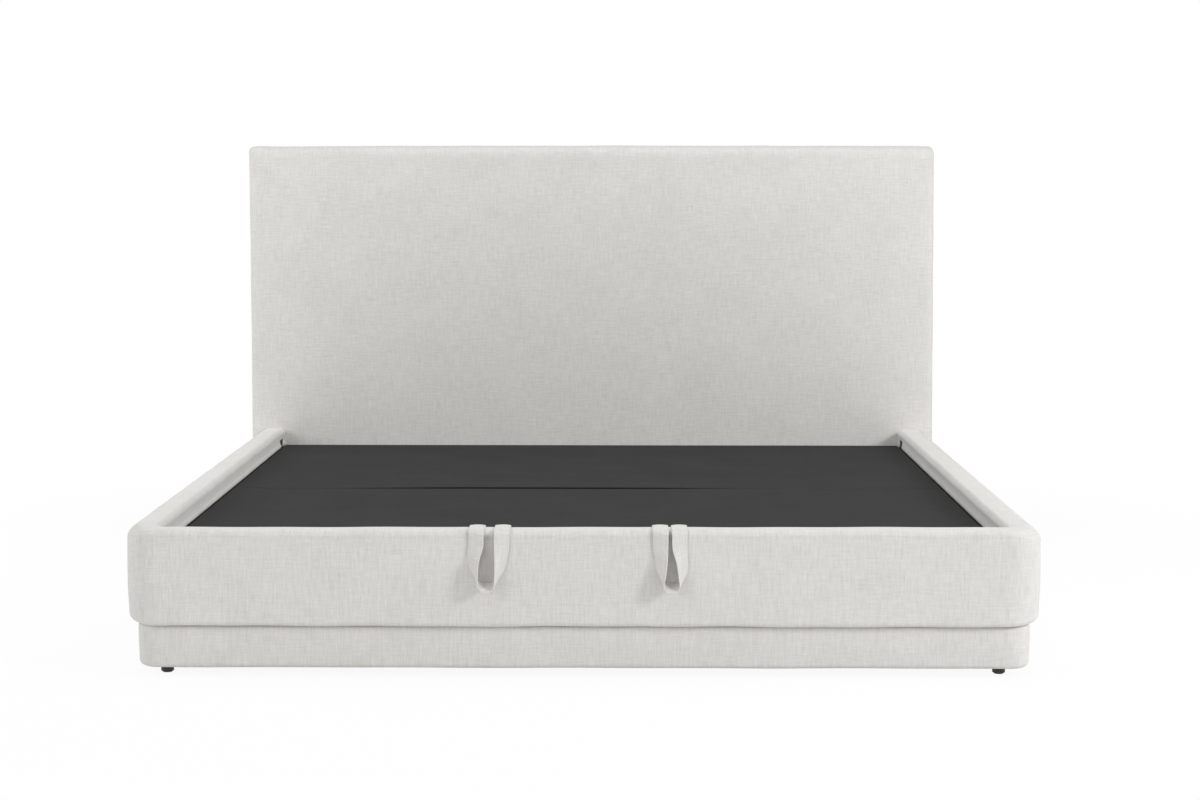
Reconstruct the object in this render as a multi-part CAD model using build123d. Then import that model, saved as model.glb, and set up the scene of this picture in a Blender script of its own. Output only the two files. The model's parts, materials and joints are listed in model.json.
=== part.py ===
from build123d import *
from math import atan2, cos, degrees, hypot, radians, sin
import os

# Upholstered ottoman storage bed, king size.
# Millimetres, +Z up, +X to the right seen from the foot, +Y towards the headboard.
# While it is modelled, Y counts from the front face of the foot rail.
# save() then moves everything so that the origin is the centre of the footprint.

# The mattress and the room it needs
mattress_width = 1930
mattress_length = 2030
mattress_side_gap = 10
mattress_end_gap = 20

# Upper tier: the padded rails
rail_thick = 80
rail_top = 350
tier_split = 120.5
rail_corner_radius = 46
rail_outer_radius = 30
rail_inner_radius = 20
rail_bottom_radius = 12
rail_board_thick = 25
rail_board_drop = 30
rail_board_end_gap = 14
rail_cover_return = 262
rail_slot_width = 8
rail_slot_depth = 25
rail_slot_flap = 4
rail_slot_rise = 20

# Lower tier: the padded plinth, set in under the rails
plinth_inset = 22
plinth_low = 22
plinth_foam = 10
plinth_top_radius = 7
plinth_bottom_radius = 11

# Cloth and boards
cloth = 2
board_thick = 18
overrun = 5

# Headboard
head_overhang = 23
head_thick = 100
head_top = 1242
head_low = 30
head_edge_radius = 28
head_corner_radius = 34
head_front_foam = 42
head_side_foam = 16
head_ply = 9
head_back_panel = 4
head_post_width = 140
head_stile_width = 90
head_frame_depth = 38
head_mid_rail_count = 2
head_stile_gap = 560

# Storage floor
floor_top = 50
floor_thick = 9
floor_clearance = 1
floor_panel_gap = 2
floor_batten_width = 45
floor_batten_count = 4
centre_beam_width = 70
head_crossboard_gap = 12
head_crossboard_top = 250

# Glides
glide_radius = 15
glide_cap_radius = 11
glide_cap = 3
glide_inset = 66
centre_glide_share = 0.3

# Deck that carries the mattress
deck_top = 298
deck_board = 12
deck_cloth = 1
deck_side_gap = 6
deck_front_gap = 8
deck_rear_gap = 8
deck_seam_gap = 3
deck_seam_from_rear = 1052
deck_edge_radius = 6

# Lifting frame of rectangular steel tube
tube_width = 40
tube_height = 25
tube_wall = 1.5
tube_inset = 64
tube_setback = 12
cross_tube_count = 3
rest_gap = 0.3
rest_pad_thick = 6
rest_pad_radius = 14
rest_pad_count = 4
rest_batten_height = 40

# Plates, bolts and brackets
plate_thick = 5
layer_gap = 2
bolt_radius = 3.5
bolt_head_radius = 7.5
bolt_head = 4
low_head = 1.5
bolt_reach = 20
fit_clearance = 0.05
hole_clearance = 0.3
bracket_leg = 50
bracket_low = 130
bracket_height = 110
bracket_bolt_margin = 22
head_bolt_reach = 72
screw_radius = 3
screw_head_radius = 6
screw_head = 2
screw_length = 20
screws_per_side = 3

# Lift mechanism: lever, link and strut sizes, and their angles at rest
lever_length = 260
lever_rest_angle = 28
lever_setback = 230
lever_pivot_height = 80
link_length = 64
link_angle = 73
rear_lever_length = 179
rear_lever_angle = 20.6
strut_circle = 200
strut_base_angle = -2
strut_spread_angle = 70
lever_width = 36
rear_lever_width = 28
pin_radius = 6
pin_collar_radius = 10
base_plate_margin = 20
base_plate_top = 236
frame_plate_ahead = 60
frame_plate_behind = 150
frame_plate_flange = 10
open_pivot_spare = 0.4

# Lift travel, and the turns of the frame and the rear levers for each degree of the front levers
lift_turn = 58
lift_step_count = 29
frame_ratio = -0.6
rear_lever_ratio = 1.26

# Gas struts
strut_from_plate = 16
cylinder_radius = 11
cylinder_wall = 1.5
cylinder_spare = 18
cylinder_start = 15
gland_thick = 8
gland_clearance = 0.5
rod_radius = 5
piston_thick = 12
piston_end_gap = 1.5
piston_clearance = 0.4
eye_radius = 11
eye_thick = 12
strut_pin_radius = 4

# Pull loops of upholstery cloth
loop_centres = (-213, 205)
loop_band = 37
loop_thick = 2.5
loop_over_gap = 1.5
loop_deck_gap = 0.8
loop_leg_offset = 28
loop_low = 208
loop_seam_drop = 36
loop_root_rise = 5
loop_bow_radius = 24
loop_bow_depth = 26
loop_bow_band = 5
loop_middle_share = 0.5
loop_middle_band = 24
loop_middle_depth = 14
loop_middle_offset = 27
loop_joint_gap = 0.3

# Places worked out from the sizes above
clear_width = mattress_width + mattress_side_gap + mattress_side_gap
clear_length = mattress_length + mattress_end_gap + mattress_end_gap
inner_x = clear_width / 2
outer_x = inner_x + rail_thick
head_width = 2 * (outer_x + head_overhang)
head_y = rail_thick + clear_length
back_y = head_y + head_thick
board_x = inner_x + cloth
rail_board_top = rail_top - rail_board_drop
plinth_thick = cloth + plinth_foam + rail_board_thick + cloth
plinth_x = outer_x - plinth_inset
plinth_inner_x = plinth_x - plinth_thick
plinth_inner_y = plinth_inset + plinth_thick
floor_low = floor_top - floor_thick
deck_low = deck_top - deck_cloth - deck_board
deck_x = inner_x - deck_side_gap
deck_front = rail_thick + deck_front_gap
deck_rear = head_y - deck_rear_gap
deck_seam = deck_rear - deck_seam_from_rear
tube_low = deck_low - tube_height
tube_outer_x = deck_x - tube_inset
tube_inner_x = tube_outer_x - tube_width
frame_front = deck_front + tube_setback
frame_rear = deck_rear - tube_setback
loop_front = -loop_over_gap - loop_thick
loop_bow_front = loop_over_gap + loop_bow_depth
y_mid = (back_y - loop_bow_front) / 2

# Layers of the lift mechanism, counted inwards from the bare rail board
layer_pitch = plate_thick + layer_gap
base_plate_x = board_x - plate_thick
rear_lever_x = base_plate_x - layer_pitch
front_lever_x = rear_lever_x - layer_pitch
frame_plate_x = front_lever_x - layer_pitch
strut_x = frame_plate_x - strut_from_plate


def polar(length, angle):
    """Y and Z parts of a length at an angle above +Y."""
    return length * cos(radians(angle)), length * sin(radians(angle))


def moved(point, step):
    return point[0] + step[0], point[1] + step[1]


# Pivots in the Y-Z plane at rest
pivot_q1_y = deck_rear - lever_setback
lever_step = polar(lever_length, lever_rest_angle)
pivot_p1 = (pivot_q1_y - lever_step[0], lever_pivot_height)
pivot_q1 = moved(pivot_p1, lever_step)
pivot_q2 = moved(pivot_q1, polar(link_length, link_angle))
pivot_p2 = moved(pivot_q2, polar(-rear_lever_length, rear_lever_angle))
pivot_a = moved(pivot_p1, polar(strut_circle, strut_base_angle))
pivot_b = moved(pivot_p1, polar(strut_circle, strut_base_angle + strut_spread_angle))
strut_angle = degrees(atan2(pivot_b[1] - pivot_a[1], pivot_b[0] - pivot_a[0]))
strut_rest_length = hypot(pivot_b[0] - pivot_a[0], pivot_b[1] - pivot_a[1])
strut_open_half = (strut_spread_angle + lift_turn) / 2
strut_stroke = 2 * strut_circle * sin(radians(strut_open_half)) - strut_rest_length
cylinder_length = strut_stroke + piston_thick + 2 * gland_thick + cylinder_spare
piston_start = cylinder_start + cylinder_length - gland_thick - piston_end_gap - piston_thick - strut_stroke


def turned(point, centre, angle):
    """A point of the Y-Z plane, turned about a centre."""
    step_y, step_z = point[0] - centre[0], point[1] - centre[1]
    length = hypot(step_y, step_z)
    return moved(centre, polar(length, degrees(atan2(step_z, step_y)) + angle))


def open_pivot_gap(turn):
    """How far the frame's pin strays from the rear lever's bore when the front levers have turned."""
    frame_end = turned(turned(pivot_q2, pivot_q1, (frame_ratio - 1) * turn), pivot_p1, turn)
    lever_end = turned(pivot_q2, pivot_p2, rear_lever_ratio * turn)
    return hypot(frame_end[0] - lever_end[0], frame_end[1] - lever_end[1])


lift_steps = [lift_turn * step / lift_step_count for step in range(lift_step_count + 1)]
open_pivot_clearance = max(open_pivot_gap(turn) for turn in lift_steps) + open_pivot_spare

# Hinge lines of the pull loops
loop_root = (deck_front - loop_deck_gap - loop_thick / 2, deck_low + loop_root_rise)
loop_fold = (loop_front, rail_top - loop_seam_drop)


def save(name, *solids):
    """Write one node, moved so that the origin is the footprint's centre."""
    shape = solids[0] if len(solids) == 1 else Compound(children=list(solids))
    os.makedirs("parts", exist_ok=True)
    export_step(Pos(0, -y_mid, 0) * shape, f"parts/{name}.step")


def block(x_range, y_range, z_range):
    """A box between two values on each axis."""
    size = [high - low for low, high in (x_range, y_range, z_range)]
    low_corner = (x_range[0], y_range[0], z_range[0])
    return Pos(*low_corner) * Box(*size, align=(Align.MIN, Align.MIN, Align.MIN))


def left_of(shape):
    return mirror(shape, about=Plane.YZ)


def cut(part, tools):
    """Take each tool out of a part in turn."""
    for tool in tools:
        part = part - tool
    return part


def both_sides(shape):
    return [shape, left_of(shape)]


def across(x_low, x_high, point, radius):
    """A round bar along X, centred on a point of the Y-Z plane."""
    centre = Plane(origin=(x_low, *point), x_dir=(0, 1, 0), z_dir=(1, 0, 0))
    return extrude(centre * Circle(radius), amount=x_high - x_low)


def along_y(x, y_range, z, radius):
    """A round bar along Y."""
    start = Plane(origin=(x, y_range[0], z), x_dir=(1, 0, 0), z_dir=(0, 1, 0))
    return extrude(start * Circle(radius), amount=y_range[1] - y_range[0])


def upright(x, y, z_range, radius):
    """A round bar along Z."""
    return extrude(Pos(x, y, z_range[0]) * Circle(radius), amount=z_range[1] - z_range[0])


def plate(x_low, outline):
    """A flat plate whose outline is drawn with Y and Z, standing on x_low."""
    standing = Plane(origin=(x_low, 0, 0), x_dir=(0, 1, 0), z_dir=(1, 0, 0))
    return extrude(standing * outline, amount=plate_thick)


def round_corners(face, corners):
    """Round a face's corners, each given as its place and its radius."""
    for place, radius in corners:
        nearest = face.vertices().sort_by_distance(Vector(*place, 0))[0]
        face = fillet(nearest, radius)
    return face


def tier_body(tier, inset):
    """The U-shaped body of one tier, taken in all round by inset."""
    side_x = tier["outer_x"] - inset
    front_y = tier["front_y"] + inset
    low, high = tier["low"] + inset, tier["high"] - inset
    well_x = tier["inner_x"] + inset
    well_y = tier["inner_y"] - inset
    plan = Pos(0, front_y) * Rectangle(2 * side_x, head_y - front_y, align=(Align.CENTER, Align.MIN))
    turn = rail_corner_radius - inset
    plan = round_corners(plan, [((side_x, front_y), turn), ((-side_x, front_y), turn)])
    body = extrude(Pos(0, 0, low) * plan, amount=high - low)
    body -= block((-well_x, well_x), (well_y, head_y + overrun), (low - overrun, high + overrun))

    def is_inner(edge):
        middle = edge.center()
        return abs(middle.X) < well_x + inset + cloth and middle.Y > well_y - cloth

    def is_open_end(edge):
        return edge.center().Y > head_y - cloth

    for level, outer_radius, inner_radius in (
        (-1, tier["top_radius"], tier["inner_radius"]),
        (0, tier["bottom_radius"], 0),
    ):
        rim = body.edges().group_by(Axis.Z)[level]
        outer = [edge for edge in rim if not is_inner(edge) and not is_open_end(edge)]
        body = fillet(outer, outer_radius - inset)
        if inner_radius:
            rim = body.edges().group_by(Axis.Z)[level]
            inner = [edge for edge in rim if is_inner(edge) and not is_open_end(edge)]
            body = fillet(inner, inner_radius - inset)
    return body


rail_tier = {
    "outer_x": outer_x,
    "inner_x": inner_x,
    "front_y": 0,
    "inner_y": rail_thick,
    "low": tier_split,
    "high": rail_top,
    "top_radius": rail_outer_radius,
    "inner_radius": rail_inner_radius,
    "bottom_radius": rail_bottom_radius,
    "bare_top": rail_cover_return,
    "board_top": rail_board_top,
    "board_end": head_y - rail_board_end_gap,
}
plinth_tier = {
    "outer_x": plinth_x,
    "inner_x": plinth_inner_x,
    "front_y": plinth_inset,
    "inner_y": plinth_inner_y,
    "low": plinth_low,
    "high": tier_split,
    "top_radius": plinth_top_radius,
    "inner_radius": 0,
    "bottom_radius": plinth_bottom_radius,
    "bare_top": tier_split - cloth,
    "board_top": tier_split - cloth,
    "board_end": head_y,
}


def bolt_across(point, x_face, reach, head):
    """A bolt driven outwards along +X, with its head on the plate's inner face."""
    shank = across(x_face, x_face + reach, point, bolt_radius)
    return shank + across(x_face - head, x_face, point, bolt_head_radius)


def bolt_towards(x, z, y_face, reach, way):
    """A bolt driven along Y, way being -1 for the foot and 1 for the head."""
    shank_end = y_face + way * reach
    head_end = y_face - way * bolt_head
    shank = along_y(x, sorted((y_face, shank_end)), z, bolt_radius)
    return shank + along_y(x, sorted((y_face, head_end)), z, bolt_head_radius)


def bracket_bolts():
    """Bolts of the right side's two corner brackets, and their bores in side, foot and head."""
    bolts, side_bores, foot_bores, head_bores = [], [], [], []
    bare_y = rail_thick - cloth
    spread = bracket_leg - bracket_bolt_margin
    heights = (bracket_low + bracket_bolt_margin, bracket_low + bracket_height - bracket_bolt_margin)
    bore = bolt_radius + hole_clearance
    for z in heights:
        for y in (bare_y + plate_thick + spread, head_y - plate_thick - spread):
            bolts.append(bolt_across((y, z), base_plate_x, bolt_reach, bolt_head))
            reach_x = base_plate_x + bolt_reach + cloth
            side_bores.append(across(base_plate_x - overrun, reach_x, (y, z), bore))
        x = base_plate_x - spread
        bolts.append(bolt_towards(x, z, bare_y + plate_thick, bolt_reach, -1))
        foot_bores.append(along_y(x, (bare_y - bolt_reach, bare_y + plate_thick + overrun), z, bore))
        bolts.append(bolt_towards(x, z, head_y - plate_thick, head_bolt_reach, 1))
        head_bores.append(along_y(x, (head_y - plate_thick - overrun, head_y + head_bolt_reach), z, bore))
    return bolts, side_bores, foot_bores, head_bores


def corner_brackets(bores):
    """Steel angles that join the side rails to the foot rail and the headboard."""
    z_range = (bracket_low, bracket_low + bracket_height)
    bare_y = rail_thick - cloth
    leg_x = (board_x - bracket_leg, board_x)
    front = block(leg_x, (bare_y, bare_y + plate_thick), z_range)
    front += block((base_plate_x, board_x), (bare_y, bare_y + bracket_leg), z_range)
    rear = block(leg_x, (head_y - plate_thick, head_y), z_range)
    rear += block((base_plate_x, board_x), (head_y - bracket_leg, head_y), z_range)
    return [cut(front, bores), cut(rear, bores)]


def plate_bolt_places():
    """Four bolts near the corners of a lift base plate, above the tier split."""
    places = []
    for y in (pivot_p1[0] - base_plate_margin / 2, pivot_a[0] + base_plate_margin / 2):
        for z in (tier_split + base_plate_margin, base_plate_top - base_plate_margin):
            places.append((y, z))
    return places


def end_slot():
    """The open slot in the right rail's inner face, beside the flap of cloth that meets the headboard."""
    x_range = (inner_x - overrun, inner_x + rail_slot_depth)
    y_range = (head_y - rail_slot_flap - rail_slot_width, head_y - rail_slot_flap)
    return block(x_range, y_range, (tier_split - overrun, deck_top + rail_slot_rise))


def tier_pieces(tier, side_bores, foot_bores, slots):
    """Board, foam and cloth of a tier's right side and of its foot."""
    outer_body = tier_body(tier, 0)
    core = tier_body(tier, cloth)
    bare_x = tier["inner_x"] + cloth
    bare_y = tier["inner_y"] - cloth
    window = block((-bare_x, bare_x), (bare_y, head_y + overrun), (tier["low"] - overrun, tier["bare_top"]))
    z_range = (tier["low"] + cloth, tier["board_top"])
    side_board = block((bare_x, bare_x + rail_board_thick), (tier["inner_y"], tier["board_end"]), z_range)
    foot_board = block((-bare_x, bare_x), (bare_y - rail_board_thick, bare_y), z_range)
    cover = outer_body - core - window
    foam = core - side_board - left_of(side_board) - foot_board
    reach = (tier["low"] - overrun, tier["high"] + overrun)
    side_zone = block((0, outer_x + overrun), (tier["inner_y"], head_y + overrun), reach)
    foot_zone = block((-outer_x - overrun, outer_x + overrun), (-overrun, tier["inner_y"]), reach)
    return {
        "side_board": cut(side_board, side_bores),
        "side_foam": cut(foam & side_zone, slots),
        "side_cover": cut(cover & side_zone, slots),
        "foot_board": cut(foot_board, foot_bores + [left_of(bore) for bore in foot_bores]),
        "foot_foam": foam & foot_zone,
        "foot_cover": cover & foot_zone,
    }


def save_tier(prefix, pieces, shared_layers):
    """Write a tier's pieces, with each shared layer's pieces together in one node."""
    for layer in ("board", "foam", "cover"):
        right, foot = pieces[f"side_{layer}"], pieces[f"foot_{layer}"]
        if layer in shared_layers:
            save(f"{prefix}_{layer}", right, left_of(right), foot)
            continue
        save(f"{prefix}_{layer}_right", right)
        save(f"{prefix}_{layer}_left", left_of(right))
        save(f"{prefix}_{layer}_foot", foot)


def head_shell(inset):
    """The headboard's padded outside, taken in by inset on all but its back."""
    width, height = head_width - 2 * inset, head_top - head_low - 2 * inset
    face = Rectangle(width, height, align=(Align.CENTER, Align.MIN))
    radius = head_corner_radius - inset
    face = round_corners(face, [((side * width / 2, height), radius) for side in (-1, 1)])
    standing = Plane(origin=(0, back_y, head_low + inset), x_dir=(1, 0, 0), z_dir=(0, -1, 0))
    shell = extrude(standing * face, amount=head_thick - inset)
    front_rim = shell.edges().group_by(Axis.Y)[0]
    floor_edge = front_rim.sort_by(Axis.Z)[0]
    rounded = [edge for edge in front_rim if edge.center().Z > floor_edge.center().Z + cloth]
    return fillet(rounded, head_edge_radius - inset)


def headboard(bores):
    """Timber frame, plywood, foam, cloth and back panel of the headboard."""
    frame_x = head_width / 2 - cloth - head_side_foam
    frame_low, frame_high = head_low + cloth, head_top - cloth - head_side_foam
    ply_y = (head_y + head_front_foam, head_y + head_front_foam + head_ply)
    frame_y = (ply_y[1], ply_y[1] + head_frame_depth)
    panel_y = (back_y - head_back_panel, back_y)
    side_bores = bores + [left_of(bore) for bore in bores]
    core = block((-frame_x, frame_x), (ply_y[0], back_y), (frame_low, frame_high))
    post_x = (frame_x - head_post_width, frame_x)
    stile_x = (head_stile_gap - head_stile_width, head_stile_gap)
    post = cut(block(post_x, frame_y, (frame_low, frame_high)), bores)
    stile = block(stile_x, frame_y, (frame_low, frame_high))
    rails = []
    bays = [(-post_x[0], -stile_x[1]), (-stile_x[0], stile_x[0]), (stile_x[1], post_x[0])]
    rail_step = (frame_high - frame_low - head_stile_width) / (head_mid_rail_count + 1)
    for level in range(head_mid_rail_count + 2):
        low = frame_low + level * rail_step
        rails += [block(bay, frame_y, (low, low + head_stile_width)) for bay in bays]
    packing_z = (frame_low, frame_low + head_stile_width)
    packing = block((-frame_x, frame_x), (frame_y[1], panel_y[0]), packing_z)
    inner = head_shell(cloth)
    save("headboard_frame", *both_sides(post), *both_sides(stile), *rails, packing)
    plywood = block((-frame_x, frame_x), ply_y, (frame_low, frame_high))
    save("headboard_plywood", cut(plywood, side_bores))
    save("headboard_back_panel", block((-frame_x, frame_x), panel_y, (frame_low, frame_high)))
    save("headboard_foam", cut(inner - core, side_bores))
    save("headboard_cover", cut(head_shell(0) - inner, side_bores))
    places = [(side * (head_width / 2 - glide_inset), back_y - head_thick / 2) for side in (-1, 0, 1)]
    save("headboard_glides", *[glide(x, y, head_low) for x, y in places])


def glide(x, y, top):
    """A round plastic glide with a smaller pad on the ground."""
    pad = upright(x, y, (0, glide_cap), glide_cap_radius)
    return pad + upright(x, y, (glide_cap, top), glide_radius)


def storage_floor():
    """Floor panels on a centre beam and cross battens, and the glides under them."""
    edge_x = plinth_inner_x + cloth
    front, rear = plinth_inner_y - cloth, head_y
    panel_x = (floor_panel_gap / 2, edge_x - floor_clearance)
    right = block(panel_x, (front + floor_clearance, rear - floor_clearance), (floor_low, floor_top))
    save("storage_floor_right", right)
    save("storage_floor_left", left_of(right))
    beam_x = centre_beam_width / 2
    under = (plinth_low, floor_low)
    battens = [block((-beam_x, beam_x), (front, rear), under)]
    pitch = (rear - front - floor_batten_width) / (floor_batten_count - 1)
    for index in range(floor_batten_count):
        low = front + index * pitch
        batten = block((beam_x, edge_x), (low, low + floor_batten_width), under)
        battens += both_sides(batten)
    save("floor_battens", *battens)
    corner_x = plinth_x - glide_inset
    corner_y = (plinth_inset + glide_inset, rear - floor_batten_width / 2)
    corners = [(side * corner_x, y) for side in (-1, 1) for y in corner_y]
    middle = [(0, front + share * (rear - front)) for share in (centre_glide_share, 1 - centre_glide_share)]
    save("base_glides", *[glide(x, y, plinth_low) for x, y in corners + middle])
    board_y = head_y - plate_thick - head_crossboard_gap
    cross_x = base_plate_x - bolt_head - layer_gap
    cross = block((-cross_x, cross_x), (board_y - board_thick, board_y), (floor_top, head_crossboard_top))
    save("head_crossboard", cross)


def frame_rest():
    """Batten on the foot rail, with rubber pads that the lifting frame comes down on."""
    bare_y = rail_thick - cloth
    top = tube_low - rest_gap - rest_pad_thick
    half = board_x - bracket_leg - layer_gap
    batten_z = (top - rest_batten_height, top)
    save("frame_rest_batten", block((-half, half), (bare_y, frame_front + tube_width), batten_z))
    pitch = 2 * (half - bracket_leg) / (rest_pad_count - 1)
    pad_y = frame_front + tube_width / 2
    pads = []
    for index in range(rest_pad_count):
        x = -half + bracket_leg + index * pitch
        pads.append(upright(x, pad_y, (top, top + rest_pad_thick), rest_pad_radius))
    save("frame_rest_pads", *pads)


def tube_x(x_range, y):
    """Rectangular tube along X, with its front side at y."""
    outer = block(x_range, (y, y + tube_width), (tube_low, deck_low))
    bore_y = (y + tube_wall, y + tube_width - tube_wall)
    long = (x_range[0] - overrun, x_range[1] + overrun)
    return outer - block(long, bore_y, (tube_low + tube_wall, deck_low - tube_wall))


def tube_y(x, y_range):
    """Rectangular tube along Y, with its left side at x."""
    outer = block((x, x + tube_width), y_range, (tube_low, deck_low))
    bore_x = (x + tube_wall, x + tube_width - tube_wall)
    long = (y_range[0] - overrun, y_range[1] + overrun)
    return outer - block(bore_x, long, (tube_low + tube_wall, deck_low - tube_wall))


def screw_places(y_range):
    """Screws through one deck board into the side tubes."""
    x = tube_inner_x + tube_width / 2
    pitch = (y_range[1] - y_range[0]) / (screws_per_side + 1)
    rows = [y_range[0] + (index + 1) * pitch for index in range(screws_per_side)]
    return [(side * x, y) for side in (-1, 1) for y in rows]


def lifting_frame():
    """Steel tubes, deck boards and their cloth, and the screws that hold them."""
    front_panel = (deck_front, deck_seam - deck_seam_gap / 2)
    rear_panel = (deck_seam + deck_seam_gap / 2, deck_rear)
    side = tube_y(tube_inner_x, (frame_front + tube_width, frame_rear - tube_width))
    places = screw_places(front_panel) + screw_places(rear_panel)
    bore = screw_radius + hole_clearance
    bores = [upright(x, y, (tube_low - overrun, deck_top), bore) for x, y in places]
    side = cut(side, [bore for bore, place in zip(bores, places) if place[0] > 0])
    save("frame_side_tube_right", side)
    save("frame_side_tube_left", left_of(side))
    ends = [tube_x((-tube_outer_x, tube_outer_x), y) for y in (frame_front, frame_rear - tube_width)]
    save("frame_end_tubes", *ends)
    run = frame_rear - frame_front - tube_width
    cross = []
    for index in range(cross_tube_count):
        y = frame_front + (index + 1) * run / (cross_tube_count + 1)
        cross.append(tube_x((-tube_inner_x, tube_inner_x), y))
    save("frame_cross_tubes", *cross)
    screws = []
    board_top = deck_low + deck_board
    for x, y in places:
        head = upright(x, y, (board_top - screw_head, board_top), screw_head_radius)
        screws.append(head + upright(x, y, (board_top - screw_length, board_top), screw_radius))
    save("deck_screws", *screws)
    sink_z = (board_top - screw_head - hole_clearance, deck_top)
    for name, y_range in (("front", front_panel), ("rear", rear_panel)):
        own = [place for place in places if y_range[0] < place[1] < y_range[1]]
        holes = [upright(x, y, (deck_low - overrun, deck_top), bore) for x, y in own]
        holes += [upright(x, y, sink_z, screw_head_radius + hole_clearance) for x, y in own]
        inner_y = (y_range[0] + deck_cloth, y_range[1] - deck_cloth)
        inner_x_range = (deck_cloth - deck_x, deck_x - deck_cloth)
        board = block(inner_x_range, inner_y, (deck_low, board_top))
        cover = block((-deck_x, deck_x), y_range, (deck_low, deck_top))
        cover = fillet(cover.edges().filter_by(Axis.Z), deck_edge_radius)
        board = fillet(board.edges().filter_by(Axis.Z), deck_edge_radius - deck_cloth)
        save(f"deck_cloth_{name}", cover - board)
        save(f"deck_board_{name}", cut(board, holes))


def link_outline(points_and_radii):
    """The rounded outline that wraps circles set at the pivots."""
    circles = [Pos(*point) * Circle(radius) for point, radius in points_and_radii]
    return make_hull(Sketch(children=circles).edges())


def pin(x_inner, x_outer, point, radius):
    return across(x_inner, x_outer, point, radius)


def drilled(part, pivots, radius, clearance):
    """Cut pivot holes along X, a clearance larger than the pin."""
    return cut(part, [across(0, outer_x, point, radius + clearance) for point in pivots])


def lift_mechanism():
    """Base plates, levers, frame plates and their pins, for both sides."""
    low = min(pivot_p1[1], pivot_a[1]) - base_plate_margin
    length = pivot_a[0] - pivot_p1[0] + 2 * base_plate_margin
    centre = (pivot_p1[0] + pivot_a[0]) / 2, (low + base_plate_top) / 2
    outline = Pos(*centre) * RectangleRounded(length, base_plate_top - low, base_plate_margin)
    base = drilled(plate(base_plate_x, outline), [pivot_p1, pivot_p2], pin_radius, fit_clearance)
    base = drilled(base, [pivot_a], strut_pin_radius, fit_clearance)
    base = drilled(base, plate_bolt_places(), bolt_radius, hole_clearance)
    save("lift_base_plate_right", base)
    save("lift_base_plate_left", left_of(base))
    bolts = [bolt_across(place, base_plate_x, bolt_reach, low_head) for place in plate_bolt_places()]
    save("base_plate_bolts", *[piece for bolt in bolts for piece in both_sides(bolt)])

    half = lever_width / 2
    outline = link_outline([(pivot_p1, half), (pivot_q1, half), (pivot_b, half)])
    lever = drilled(plate(front_lever_x, outline), [pivot_p1, pivot_q1], pin_radius, fit_clearance)
    lever = drilled(lever, [pivot_b], strut_pin_radius, fit_clearance)
    save("front_lever_right", lever)
    save("front_lever_left", left_of(lever))

    half = rear_lever_width / 2
    outline = link_outline([(pivot_p2, half), (pivot_q2, half)])
    lever = drilled(plate(rear_lever_x, outline), [pivot_p2], pin_radius, fit_clearance)
    lever = drilled(lever, [pivot_q2], pin_radius, open_pivot_clearance)
    save("rear_lever_right", lever)
    save("rear_lever_left", left_of(lever))
    save_frame_plates()
    save_pins()


def save_frame_plates():
    """Angle plates under the deck that carry the frame on its levers."""
    y_range = (pivot_q1[0] - frame_plate_ahead, pivot_q1[0] + frame_plate_behind)
    corners = [(y, deck_low - frame_plate_flange) for y in y_range]
    half = lever_width / 2
    ears = [(pivot_q1, half), (pivot_q2, rear_lever_width / 2)]
    outline = link_outline(ears + [(corner, frame_plate_flange) for corner in corners])
    web = plate(frame_plate_x, outline)
    web -= block((0, outer_x), (0, back_y), (deck_low, rail_top))
    web = drilled(web, [pivot_q1, pivot_q2], pin_radius, fit_clearance)
    flange = block((tube_outer_x, frame_plate_x), y_range, (deck_low - plate_thick, deck_low))
    save("frame_plate_right", web + flange)
    save("frame_plate_left", left_of(web + flange))


def save_pins():
    """Pins at the levers' and struts' pivots, with their spacer collars."""
    clear = layer_gap / 4
    strut_end = strut_x - eye_thick / 2 - plate_thick
    strut_face = strut_x + eye_thick / 2 + clear
    long_pin = pin(front_lever_x - clear, board_x, pivot_p1, pin_radius)
    long_pin += pin(front_lever_x + plate_thick + clear, base_plate_x - clear, pivot_p1, pin_collar_radius)
    short_pin = pin(rear_lever_x - clear, board_x, pivot_p2, pin_radius)
    anchor = pin(strut_end, board_x, pivot_a, strut_pin_radius)
    anchor += pin(strut_face, base_plate_x - clear, pivot_a, pin_collar_radius)
    fixed = [long_pin, short_pin, anchor]
    save("base_pins", *[piece for each in fixed for piece in both_sides(each)])
    lever_end = front_lever_x + plate_thick
    crank = pin(strut_end, lever_end + clear, pivot_b, strut_pin_radius)
    crank += pin(strut_face, front_lever_x - clear, pivot_b, pin_collar_radius)
    save("lever_strut_pins", *both_sides(crank))
    frame_pin = pin(frame_plate_x - clear, lever_end + clear, pivot_q1, pin_radius)
    link_pin = pin(frame_plate_x - clear, rear_lever_x + plate_thick + clear, pivot_q2, pin_radius)
    link_pin += pin(frame_plate_x + plate_thick + clear, rear_lever_x - clear, pivot_q2, pin_collar_radius)
    save("frame_pins", *both_sides(frame_pin), *both_sides(link_pin))


def strut_frame():
    """A plane on the strut's axis, with local Z running from its base to its rod end."""
    direction = polar(1, strut_angle)
    return Plane(origin=(strut_x, *pivot_a), x_dir=(1, 0, 0), z_dir=(0, *direction))


def strut_bar(start, end, radius):
    return extrude(strut_frame().offset(start) * Circle(radius), amount=end - start)


def eye(point):
    """A flat ring that turns on a strut pin."""
    ring = across(strut_x - eye_thick / 2, strut_x + eye_thick / 2, point, eye_radius)
    return ring - across(0, outer_x, point, strut_pin_radius + fit_clearance)


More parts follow.
